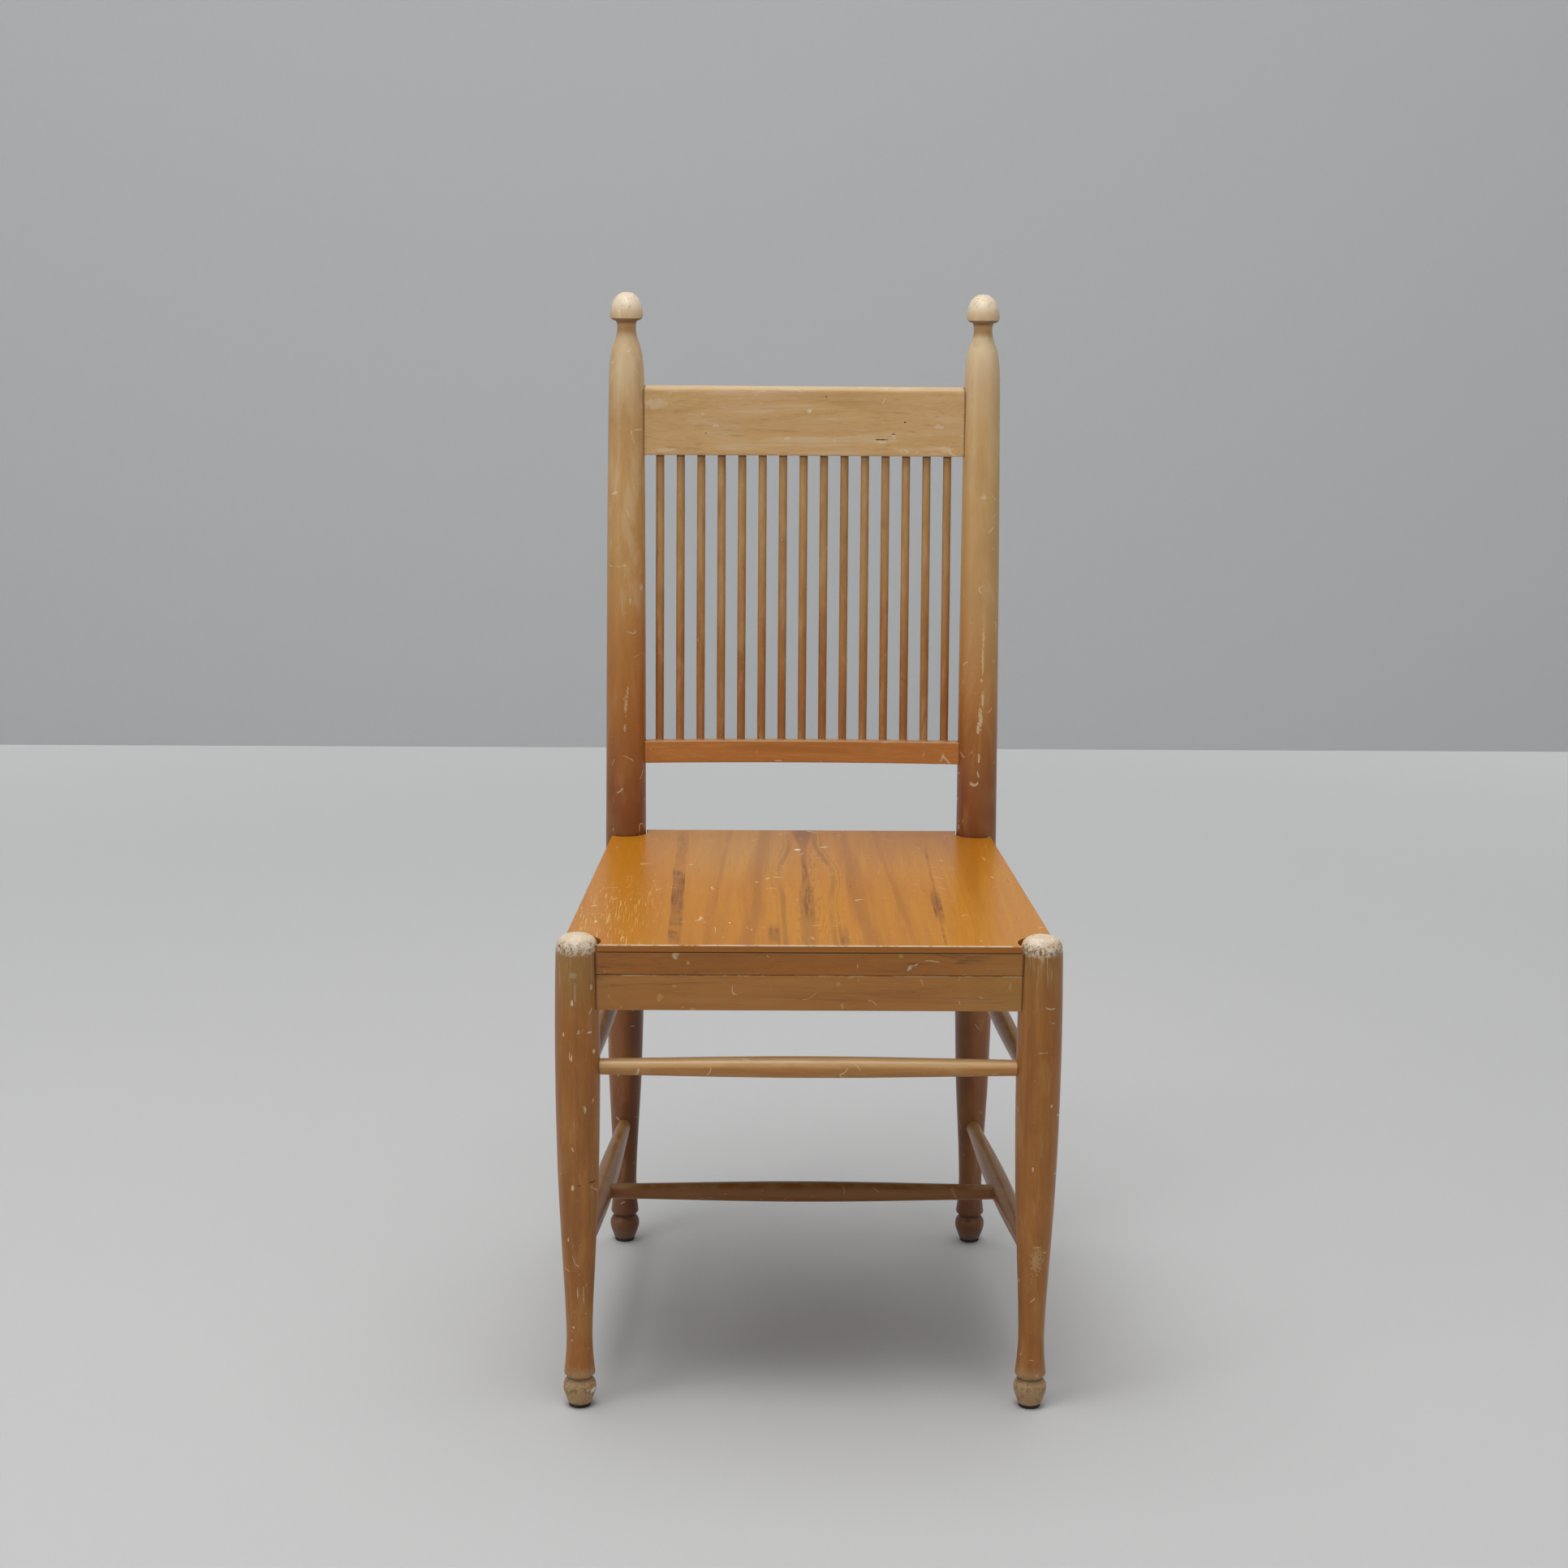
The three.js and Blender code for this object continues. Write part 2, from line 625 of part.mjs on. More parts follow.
function addBack(pieces) {
  const spindleHoles = [];
  for (let i = 0; i < SPINDLE_COUNT; i += 1) {
    spindleHoles.push(spindle(i, CLEARANCE));
    const name = `spindle_${String(i + 1).padStart(2, '0')}`;
    pieces.push(node(name, spindle(i), spindleVarnish));
  }
  pieces.push(node('crest_rail', cut(rail(CREST), spindleHoles), bleachedVarnish));
  pieces.push(node('lower_back_rail', cut(rail(LOWER_RAIL), spindleHoles), spindleVarnish));
}

function addSeat(pieces, grownLegs) {
  const holes = screwHoles();
  for (const entry of APRONS) pieces.push(node(entry[0], apron(entry, grownLegs), apronVarnish));
  pieces.push(node('seat_panel', cut(seatPanel(), holes), seatVeneer));
  for (const [end, word, side] of CORNERS) {
    const block = cut(cornerBlock(end, side, grownLegs), holes);
    pieces.push(node(`corner_block_${end}_${word}`, block, bareBeech));
    pieces.push(node(`seat_screw_${end}_${word}`, seatScrew(end, side), zincSteel));
  }
}

function addStretchers(pieces) {
  const front = stretcher(...FRONT_SPAN, FRONT_STRETCHER);
  const cross = stretcher(...CROSS_SPAN, CROSS_STRETCHER);
  const crossHoles = sockets(...CROSS_SPAN, CROSS_STRETCHER, OVERCUT + LOWER_SIDE_STRETCHER.middle);
  pieces.push(node('front_stretcher', front, stretcherVarnish));
  pieces.push(node('cross_stretcher', cross, stretcherVarnish));
  for (const [word, side] of SIDES) {
    const upper = stretcher(...upperSideSpan(side), UPPER_SIDE_STRETCHER);
    const lower = cut(stretcher(...lowerSideSpan(side), LOWER_SIDE_STRETCHER), crossHoles);
    pieces.push(node(`upper_side_stretcher_${word}`, upper, stretcherVarnish));
    pieces.push(node(`lower_side_stretcher_${word}`, lower, stretcherVarnish));
  }
}

// Moves everything so that the origin is on the floor under the middle of the chair
function centre(pieces) {
  const box = new THREE.Box3();
  for (const piece of pieces) box.expandByObject(piece);
  const middle = box.getCenter(new THREE.Vector3());
  for (const piece of pieces) piece.geometry.translate(-middle.x, -middle.y, -box.min.z);
}

function chair() {
  const grownLegs = SIDES.flatMap(([, side]) => [
    frontLegBody(side, CLEARANCE), rearPostBody(side, CLEARANCE)]);
  const pieces = [];
  addFrame(pieces);
  addBack(pieces);
  addSeat(pieces, grownLegs);
  addStretchers(pieces);
  centre(pieces);
  const group = new THREE.Group();
  group.name = 'spindle_back_chair';
  group.add(...pieces);
  return group;
}

export default chair();
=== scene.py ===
import math

import bpy
from mathutils import Matrix, Quaternion, Vector


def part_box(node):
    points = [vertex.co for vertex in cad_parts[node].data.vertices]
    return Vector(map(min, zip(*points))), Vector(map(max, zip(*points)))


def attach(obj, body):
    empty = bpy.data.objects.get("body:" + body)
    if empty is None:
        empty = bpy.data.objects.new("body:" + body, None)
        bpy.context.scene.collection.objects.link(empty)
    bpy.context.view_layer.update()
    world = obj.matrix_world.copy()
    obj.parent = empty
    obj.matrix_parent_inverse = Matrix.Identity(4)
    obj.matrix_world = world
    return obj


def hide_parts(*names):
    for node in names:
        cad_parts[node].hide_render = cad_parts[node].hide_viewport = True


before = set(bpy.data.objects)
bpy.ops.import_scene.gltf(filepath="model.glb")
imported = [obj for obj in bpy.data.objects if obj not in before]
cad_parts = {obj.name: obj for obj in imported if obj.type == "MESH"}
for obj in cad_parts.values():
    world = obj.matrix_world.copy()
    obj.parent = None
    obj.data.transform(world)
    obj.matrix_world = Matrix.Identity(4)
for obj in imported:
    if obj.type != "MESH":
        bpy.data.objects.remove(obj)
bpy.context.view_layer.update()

bpy.ops.object.select_all(action="DESELECT")

MM = 0.001

# Sizes of the chair, in millimetres
SEAT = 450
FRONT_X = 210.5
FRONT_Y = -206
REAR_X = 180.6
REAR_Y = 206
REAR_SPLAY_X = 3.2
REAR_SPLAY_Y = 10.6
BACK_RAKE = math.radians(6.4)
BEND_HALF = 30
JOINT_GAP = 0.3
PANEL_THICKNESS = 7
PANEL_FRONT_Y = FRONT_Y - 11.5
PANEL_REAR_Y = REAR_Y + 8
PANEL_OUTBOARD = 12.4
FRONT_NOTCH = 21.9
REAR_NOTCH = 22.6
APRON_TOP = SEAT - PANEL_THICKNESS - JOINT_GAP
APRON_THICKNESS = 22
UPPER_BOARD_BOTTOM = 422.3
LOWER_BOARD_TOP = 421.6
APRON_BOTTOM = 388.6
RAIL_BOW = 14
RAIL_INSET = 8
CREST_BOTTOM = 386.3
CREST_HEIGHT = 70.4
CREST_THICKNESS = 19
CREST_TOP = CREST_BOTTOM + CREST_HEIGHT
LOWER_RAIL_BOTTOM = 71.9
LOWER_RAIL_HEIGHT = 22.6
LOWER_RAIL_THICKNESS = 21
SPINDLES = 15
SPINDLE_REACH = 146.3
SPINDLE_IN_LOWER_RAIL = 12
SPINDLE_IN_CREST = 14
SPINDLE_TURN = 2.4
FRONT_STRETCHER_Z = 331.5
UPPER_SIDE_Z = 309
LOWER_SIDE_FRONT_Z = 143
LOWER_SIDE_REAR_Z = 132
CROSS_Y = -9
STRETCHER_REACH = 3
CROSS_REACH = 1.5
GLIDE_HEIGHT = 3.5
GLIDE_RADIUS = 10.2

# The chair's own middle against the floor mark that the frame is drawn from
glide_low, glide_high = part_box("front_glide_left")
SHIFT = (glide_low[1] + glide_high[1]) / 2 / MM - FRONT_Y

# Turned shapes: [radius, height]
FOOT = [
    (10.9, 3.8), (12.4, 8), (14.2, 13), (15.2, 17), (15.3, 20.5), (14.5, 24.2), (12.5, 27),
    (11.7, 29), (12.6, 30.6), (14.4, 32.6), (14.1, 37), (13.1, 47), (12.3, 60), (12.1, 72),
    (12.6, 90), (13.3, 108), (15.2, 145), (17.2, 186),
]
FRONT_SHANK = [(18.8, 225.6), (19.8, 265.2), (20.4, 304.8), (20.6, 344.4), (20.4, 384)]
DOME = [
    (19.8, 420), (19.4, 438), (19.1, 444), (18, 449.5), (15.3, 453.3), (11, 455.8),
    (6, 456.9), (1.2, 457.2),
]
REAR_SHANK = [(18.2, 0.15), (19.2, 0.32), (19.9, 0.55), (20.4, 0.8)]
POST_SHAFT = [(20.6, 0), (20.4, 0.08), (20.15, 0.32), (19.55, 0.6), (19.05, 0.78)]
FINIAL = [
    (18, 4.3), (17.8, 12.3), (16.9, 24.3), (14.7, 36.8), (11.9, 44.8), (10.2, 51.3),
    (9.4, 56.3), (9.8, 61.3), (11.2, 65.3), (15.4, 66.9), (16.7, 68.8), (16.8, 70.8),
    (16.3, 74.8), (14.8, 81.3), (12.8, 85.8), (10, 89.3), (6, 91.9), (1.2, 92.8),
]


# Shaping

def rounded(profile, parts=3):
    """More rings between the measured ones, on a smooth curve through them."""
    points = [Vector((radius, height)) for radius, height in profile]
    rings = [tuple(points[0])]
    for i in range(len(points) - 1):
        before = points[max(i - 1, 0)]
        start, end = points[i], points[i + 1]
        after = points[min(i + 2, len(points) - 1)]
        span = (end - start).length
        lead = (end - before) * (span / max((end - before).length, 0.001))
        trail = (after - start) * (span / max((after - start).length, 0.001))
        for k in range(1, parts + 1):
            t = k / parts
            bend = (
                start * (2 * t**3 - 3 * t**2 + 1) + lead * (t**3 - 2 * t**2 + t)
                + end * (3 * t**2 - 2 * t**3) + trail * (t**3 - t**2)
            )
            rings.append((max(bend.x, 0.4), max(bend.y, rings[-1][1] + 0.01)))
    return rings


def choose(piece):
    """Selects this piece alone."""
    bpy.ops.object.select_all(action="DESELECT")
    piece.select_set(True)
    bpy.context.view_layer.objects.active = piece


def face_outward():
    """Turns every face of the piece in edit mode outwards, and leaves that mode."""
    bpy.ops.mesh.select_all(action="SELECT")
    bpy.ops.mesh.normals_make_consistent(inside=False)
    bpy.ops.object.mode_set(mode="OBJECT")


def upright(height):
    """Centre and lean of a ring of a piece that stands straight."""
    return Vector((0, 0, height)), 0.0


def turn(name, profile, path=upright, sides=48):
    """A turned piece, drawn up ring by ring along its axis."""
    bpy.ops.object.select_all(action="DESELECT")
    radius, height = profile[0]
    centre, lean = path(height)
    bpy.ops.mesh.primitive_circle_add(
        vertices=sides, radius=radius * MM, fill_type="NGON", location=centre * MM)
    piece = bpy.context.object
    piece.name = name
    bpy.ops.object.mode_set(mode="EDIT")
    bpy.ops.mesh.select_all(action="SELECT")
    for next_radius, next_height in profile[1:]:
        place, tilt = path(next_height)
        bpy.ops.mesh.extrude_region_move(
            TRANSFORM_OT_translate={"value": (place - centre) * MM})
        size = next_radius / radius
        bpy.ops.transform.resize(value=(size, size, size), center_override=place * MM)
        if abs(tilt - lean) > 1e-6:
            bpy.ops.transform.rotate(
                value=tilt - lean, orient_axis="X", center_override=place * MM)
        radius, centre, lean = next_radius, place, tilt
    face_outward()
    settle(piece)
    return piece


def settle(piece):
    """The piece's place goes into its mesh."""
    choose(piece)
    bpy.ops.object.transform_apply(location=True, rotation=True, scale=True)


def move(piece, place, turned=None):
    if turned is not None:
        piece.rotation_mode = "QUATERNION"
        piece.rotation_quaternion = turned
    piece.location = Vector(place) * MM
    settle(piece)
    piece.rotation_mode = "XYZ"


def lay_between(piece, start, end):
    """A piece turned upright is laid along the line between two points."""
    aim = (end - start).normalized()
    move(piece, start, aim.to_track_quat("Z", "Y"))


def copied(piece, name):
    choose(piece)
    bpy.ops.object.duplicate(linked=False)
    twin = bpy.context.object
    twin.name = name
    return twin


def mirrored(piece, name):
    twin = copied(piece, name)
    twin.scale = (-1, 1, 1)
    settle(twin)
    edit(twin)
    face_outward()
    return twin


def edit(piece):
    choose(piece)
    bpy.ops.object.mode_set(mode="EDIT")
    bpy.ops.mesh.select_mode(type="VERT")
    bpy.ops.mesh.select_all(action="DESELECT")


def pick_points(piece, wanted):
    """Selects the points whose place the rule wants; the piece is in edit mode."""
    bpy.ops.mesh.select_all(action="DESELECT")
    bpy.ops.object.mode_set(mode="OBJECT")
    for point in piece.data.vertices:
        point.select = wanted(point.co / MM)
    bpy.ops.object.mode_set(mode="EDIT")


def pick_edges(piece, wanted):
    bpy.ops.mesh.select_mode(type="EDGE")
    bpy.ops.mesh.select_all(action="DESELECT")
    bpy.ops.object.mode_set(mode="OBJECT")
    points = piece.data.vertices
    for line in piece.data.edges:
        line.select = wanted(*[points[i].co / MM for i in line.vertices])
    bpy.ops.object.mode_set(mode="EDIT")


def block(name, size, centre):
    """A squared blank of wood, as sawn."""
    bpy.ops.object.select_all(action="DESELECT")
    bpy.ops.mesh.primitive_cube_add(size=1, location=Vector(centre) * MM)
    piece = bpy.context.object
    piece.name = name
    piece.scale = Vector(size) * MM
    settle(piece)
    return piece


def ease_edges(piece, width, segments=2, angle=35):
    modifier = piece.modifiers.new("eased edges", "BEVEL")
    modifier.width = width * MM
    modifier.segments = segments
    modifier.limit_method = "ANGLE"
    modifier.angle_limit = math.radians(angle)
    choose(piece)
    bpy.ops.object.modifier_apply(modifier=modifier.name)


def slice_across(piece, places, axis=0):
    """Cuts the piece into short lengths, so that it can bend or wear."""
    edit(piece)
    normal = Vector((0, 0, 0))
    normal[axis] = 1
    for place in places:
        bpy.ops.mesh.select_all(action="SELECT")
        bpy.ops.mesh.bisect(plane_co=normal * place * MM, plane_no=normal)
    bpy.ops.object.mode_set(mode="OBJECT")


def eased_copy(node, name, width=0.8):
    """The drawn piece with its sharp edges broken."""
    twin = copied(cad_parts[node], name)
    edit(twin)
    bpy.ops.mesh.select_all(action="SELECT")
    bpy.ops.mesh.remove_doubles(threshold=0.00001)
    bpy.ops.mesh.dissolve_limited(angle_limit=math.radians(1))
    bpy.ops.object.mode_set(mode="OBJECT")
    ease_edges(twin, width)
    return twin


def fit(piece, finish, *nodes, angle=40):
    """The finished piece takes its finish and its place in the chair."""
    choose(piece)
    bpy.ops.object.shade_smooth_by_angle(angle=math.radians(angle))
    piece.data.materials.clear()
    piece.data.materials.append(finish)
    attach(piece, "root")
    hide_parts(*nodes)
    return piece


# Finishes: the tools that paint them

def tone(text):
    """A paint-card colour, made linear."""
    parts = [int(text[i:i + 2], 16) / 255 for i in (1, 3, 5)]
    line = [v / 12.92 if v <= 0.04045 else ((v + 0.055) / 1.055) ** 2.4 for v in parts]
    return (*line, 1)


class Nodes:
    """Adds nodes to one material, group or world, and joins them."""

    def __init__(self, tree):
        self.tree = tree

    def join(self, value, socket):
        """Links a socket's value, or writes a plain one."""
        if isinstance(value, bpy.types.NodeSocket):
            self.tree.links.new(value, socket)
        else:
            socket.default_value = value

    def add(self, kind, values=None, **settings):
        node = self.tree.nodes.new(kind)
        for key, value in settings.items():
            setattr(node, key, value)
        for key, value in (values or {}).items():
            self.join(value, node.inputs[key])
        return node

    def sums(self, way, *values):
        return self.add("ShaderNodeMath", dict(enumerate(values)), operation=way).outputs[0]

    def times(self, first, *others):
        for value in others:
            first = self.sums("MULTIPLY", first, value)
        return first

    def plus(self, first, second):
        return self.sums("ADD", first, second)

    def less(self, first, second):
        return self.sums("SUBTRACT", first, second)

    def absolute(self, value):
        return self.sums("ABSOLUTE", value)

    def arrows(self, way, *values):
        node = self.add("ShaderNodeVectorMath", dict(enumerate(values)), operation=way)
        return node.outputs[0]

    def length(self, arrow):
        node = self.add("ShaderNodeVectorMath", {0: arrow}, operation="LENGTH")
        return node.outputs["Value"]

    def slope(self, value, start, end, kind="LINEAR"):
        """0 before the start, 1 after the end, and a straight run between."""
        return self.add("ShaderNodeMapRange", {
            "Value": value, "From Min": start, "From Max": end},
            interpolation_type=kind).outputs[0]

    def ramp(self, value, start, end):
        """0 before the start, 1 after the end, smooth between."""
        return self.slope(value, start, end, "SMOOTHSTEP")

    def band(self, value, low, high, soft):
        rise = self.ramp(value, low - soft, low + soft)
        return self.times(rise, self.ramp(value, high + soft, high - soft))

    def noise_at(self, vector, scale, detail=3.0, rough=0.55, bend=0.0):
        return self.add("ShaderNodeTexNoise", {
            "Vector": vector, "Scale": scale, "Detail": detail, "Roughness": rough,
            "Distortion": bend}).outputs[0]


def open_group(name, inputs, outputs=("Mask",)):
    """A new group: a vector and the named inputs go in, and masks come out."""
    tree = bpy.data.node_groups.new(name, "ShaderNodeTree")
    for label, value in [("Vector", (0, 0, 0)), *inputs]:
        kind = "NodeSocketVector" if isinstance(value, tuple) else "NodeSocketFloat"
        socket = tree.interface.new_socket(name=label, in_out="INPUT", socket_type=kind)
        socket.default_value = value
    for label in outputs:
        tree.interface.new_socket(name=label, in_out="OUTPUT", socket_type="NodeSocketFloat")
    nodes = Nodes(tree)
    return nodes, nodes.add("NodeGroupInput").outputs, nodes.add("NodeGroupOutput").inputs


def grain_group():
    """Fibres, wider streaks and broad figure of wood whose grain lies along the squeezed axis."""
    nodes, given, out = open_group(
        "wood grain", [("Fibre Scale", 1100), ("Streak Scale", 150)],
        ("Fibre", "Streak", "Figure"))
    vector = given["Vector"]
    nodes.join(nodes.noise_at(vector, given["Fibre Scale"], 3, 0.6, 0.2), out["Fibre"])
    nodes.join(nodes.noise_at(vector, given["Streak Scale"], 4, 0.6, 0.7), out["Streak"])
    nodes.join(nodes.noise_at(vector, 42, 2, 0.5, 1.2), out["Figure"])
    return nodes.tree


def nick_group():
    """Small scattered chips: where each is, and how many of the places are hit."""
    nodes, given, out = open_group("nicks", [("Scale", 60), ("Size", 0.12), ("Share", 0.4)])
    vector = given["Vector"]
    shake = nodes.add("ShaderNodeTexNoise", {"Vector": vector, "Scale": 900, "Detail": 3.0})
    shift = nodes.arrows("ADD", shake.outputs[1], (-0.5, -0.5, -0.5))
    small = nodes.add("ShaderNodeVectorMath", {0: shift, "Scale": 0.003}, operation="SCALE")
    cells = nodes.add("ShaderNodeTexVoronoi", {
        "Vector": nodes.arrows("ADD", vector, small.outputs[0]), "Scale": given["Scale"]})
    luck = nodes.add("ShaderNodeSeparateColor", {0: cells.outputs["Color"]}).outputs
    size = nodes.times(given["Size"], nodes.plus(0.2, luck[1]))
    spot = nodes.slope(cells.outputs["Distance"], size, nodes.times(size, 0.45))
    hit = nodes.sums("LESS_THAN", luck[0], given["Share"])
    nodes.join(nodes.times(spot, hit), out["Mask"])
    return nodes.tree


def scratch_group():
    """Hairline scratches: short stretches of long curling lines."""
    nodes, given, out = open_group(
        "hairline scratches", [("Scale", 9), ("Width", 0.004), ("Share", 0.62)])
    vector = given["Vector"]
    field = nodes.noise_at(vector, given["Scale"], 1, 0.4, 0.3)
    line = nodes.slope(nodes.absolute(nodes.less(field, 0.5)), given["Width"], 0)
    short = nodes.slope(
        nodes.noise_at(vector, 75, 1, 0.5), given["Share"], nodes.plus(given["Share"], 0.04))
    nodes.join(nodes.times(line, short), out["Mask"])
    return nodes.tree


def mark_group():
    """One mark at a known place: a ragged oval of a given reach."""
    nodes, given, out = open_group("one mark", [
        ("Place", (0, 0, 0)), ("Reach", (0.01, 0.01, 0.01)), ("Ragged", 0.6)])
    vector = given["Vector"]
    off = nodes.arrows("SUBTRACT", vector, given["Place"])
    away = nodes.length(nodes.arrows("DIVIDE", off, given["Reach"]))
    rough = nodes.less(nodes.noise_at(vector, 420, 3, 0.7), 0.5)
    torn = nodes.plus(away, nodes.times(rough, nodes.times(given["Ragged"], 3)))
    nodes.join(nodes.ramp(torn, 1.08, 0.78), out["Mask"])
    return nodes.tree


def border_group():
    """A ragged border: a place along the piece, torn by noise of a given size and depth."""
    nodes, given, out = open_group("ragged border", [
        ("Value", 0), ("Start", 0), ("End", 1), ("Scale", 120), ("Depth", 0.004)])
    rough = nodes.less(nodes.noise_at(given["Vector"], given["Scale"], 4, 0.65), 0.5)
    moved = nodes.plus(given["Value"], nodes.times(rough, nodes.times(given["Depth"], 2)))
    nodes.join(nodes.ramp(moved, given["Start"], given["End"]), out["Mask"])
    return nodes.tree


GRAIN, NICKS, SCRATCHES, MARK, BORDER = (
    grain_group(), nick_group(), scratch_group(), mark_group(), border_group())

# How much a pattern is squeezed on each axis, so that it draws out along the grain
GRAIN_ALONG = {"X": (0.045, 1, 1), "Y": (1, 0.045, 1), "Z": (1, 1, 0.045)}
LONG_AT_LEAST = 0.22


class Finish(Nodes):
    """One finish, built up coat by coat on its base colour."""

    def __init__(self, name, base, rough, along="Z", varnish=0.0, varnish_rough=0.2, shine=0.4):
        self.material = bpy.data.materials.new(name)
        self.material.use_nodes = True
        super().__init__(self.material.node_tree)
        self.shader = self.tree.nodes["Principled BSDF"]
        self.shader.inputs["Coat Weight"].default_value = varnish
        self.shader.inputs["Coat Roughness"].default_value = varnish_rough
        self.shader.inputs["Specular IOR Level"].default_value = shine
        self.place = self.add("ShaderNodeTexCoord").outputs["Object"]
        self.x, self.y, self.z = self.add("ShaderNodeSeparateXYZ", {0: self.place}).outputs
        self.lie = self.stretched(GRAIN_ALONG[along])
        self.long = self.stretched([max(share, LONG_AT_LEAST) for share in GRAIN_ALONG[along]])
        self.colour = tone(base)
        self.rough = rough
        self.height = 0.0

    def stretched(self, scale, turned=(0, 0, 0)):
        return self.add("ShaderNodeMapping", {
            "Vector": self.place, "Rotation": turned, "Scale": scale}).outputs[0]

    def group(self, tree, **values):
        node = self.add("ShaderNodeGroup", node_tree=tree)
        for key, value in values.items():
            self.join(value, node.inputs[key.replace("_", " ")])
        return node.outputs

    def noise(self, scale, detail=3.0, rough=0.55, bend=0.0, lie=False):
        return self.noise_at(self.lie if lie else self.place, scale, detail, rough, bend)

    def patches(self, scale, detail, low, high, rough=0.55, bend=0.0, lie=False):
        """Noise made into patches: none where it is low, and full where it is high."""
        return self.ramp(self.noise(scale, detail, rough, bend, lie), low, high)

    def coat(self, mask, colour=None, rough=None, height=None, amount=1):
        """Lays an amount of a colour, a sheen or a step in height where the mask is."""
        if amount != 1:
            mask = self.times(mask, amount)
        if colour is not None:
            colour = tone(colour) if isinstance(colour, str) else colour
            self.colour = self.add(
                "ShaderNodeMix", {0: mask, 6: self.colour, 7: colour}, data_type="RGBA").outputs[2]
        if rough is not None:
            self.rough = self.add("ShaderNodeMix", {0: mask, 2: self.rough, 3: rough}).outputs[0]
        if height is not None:
            self.height = self.plus(self.height, self.times(mask, height))

    def grain(self, dark, light, fibre=1100.0, streak=150.0, deep=0.03, amount=0.75):
        """Lighter and darker wood along the grain, with fine fibres."""
        fibres, streaks, figure = self.group(
            GRAIN, Vector=self.lie, Fibre_Scale=fibre, Streak_Scale=streak)
        self.coat(self.ramp(streaks, 0.42, 0.68), light, amount=amount)
        self.coat(self.ramp(figure, 0.55, 0.3), dark, amount=amount)
        self.coat(self.ramp(fibres, 0.5, 0.34), dark, amount=0.32)
        self.height = self.plus(self.height, self.times(fibres, deep))

    def mottle(self, dark, light, scale=60.0, amount=0.4, within=None):
        """Worn and stained clouds, drawn out a little along the grain."""
        field = self.noise_at(self.long, scale, 6, 0.7, 0.4)
        share = amount if within is None else self.times(within, amount)
        self.coat(self.times(self.ramp(field, 0.5, 0.66), share), light)
        self.coat(self.times(self.ramp(field, 0.5, 0.34), share), dark)

    def nicks(self, colour, scale, size, share, within=None, height=-0.12, lie=None):
        vector = self.place if lie is None else self.stretched(lie)
        mask = self.group(NICKS, Vector=vector, Scale=scale, Size=size, Share=share)[0]
        if within is not None:
            mask = self.times(mask, within)
        self.coat(mask, colour, 0.7, height)

    def scratches(self, colour, scale, width, share):
        mask = self.group(
            SCRATCHES, Vector=self.place, Scale=scale, Width=width, Share=share)[0]
        self.coat(mask, colour, 0.7, -0.05, amount=0.8)

    def mark(self, colour, place, reach, ragged=0.6, height=-0.1, rough=0.7, amount=1):
        """One mark, its place and reach in millimetres."""
        mask = self.group(
            MARK, Vector=self.place, Place=Vector(place) * MM, Reach=Vector(reach) * MM,
            Ragged=ragged)[0]
        self.coat(mask, colour, rough, height, amount)

    def border(self, value, start, end, scale=120.0, depth=0.004, lie=False):
        """0 before the start and 1 after the end of a torn border."""
        return self.group(
            BORDER, Vector=self.lie if lie else self.place, Value=value, Start=start, End=end,
            Scale=scale, Depth=depth)[0]

    def joint(self, value, near, far, colour, amount=0.8):
        """The dirt that a joint holds, between two distances."""
        self.coat(self.ramp(value, near, far), colour, 0.7, amount=amount)

    def facing_up(self):
        """1 where the surface looks up, 0 where it stands and less below."""
        normal = self.add("ShaderNodeNewGeometry").outputs["Normal"]
        return self.add("ShaderNodeSeparateXYZ", {0: normal}).outputs[2]

    def fade(self, value, stops):
        """A run of colours along the piece: [(place, colour)]."""
        first, last = stops[0][0], stops[-1][0]
        node = self.add("ShaderNodeValToRGB", {0: self.slope(value, first, last)})
        points = node.color_ramp.elements
        while len(points) < len(stops):
            points.new(0.5)
        for point, (at, colour) in zip(points, stops):
            point.position = (at - first) / (last - first)
            point.color = tone(colour)
        return node.outputs[0]

    def done(self):
        self.join(self.colour, self.shader.inputs["Base Color"])
        self.join(self.rough, self.shader.inputs["Roughness"])
        if isinstance(self.height, bpy.types.NodeSocket):
            bump = self.add("ShaderNodeBump", {"Height": self.height, "Distance": MM})
            self.join(bump.outputs[0], self.shader.inputs["Normal"])
        return self.material


# The chair's finishes
# Places along a piece are in metres, as its own coordinates are, and marks in millimetres

def from_seat(finish, back_share, rise_share):
    """The place behind the rear posts' axis and the one above the seat, each by its share."""
    back = finish.times(finish.less(finish.y, (REAR_Y + SHIFT) * MM), back_share)
    rise = finish.times(finish.less(finish.z, SEAT * MM), rise_share)
    return finish.plus(back, rise)


def crest_height(finish):
    """Distance above the seat up the leaning back."""
    return from_seat(finish, math.sin(BACK_RAKE), math.cos(BACK_RAKE))


def post_distance(finish):
    """Distance from the axis of the nearer rear post above the seat."""
    across = finish.less(finish.absolute(finish.x), REAR_X * MM)
    behind = from_seat(finish, math.cos(BACK_RAKE), -math.sin(BACK_RAKE))
    return finish.length(finish.add("ShaderNodeCombineXYZ", {0: across, 1: behind}).outputs[0])


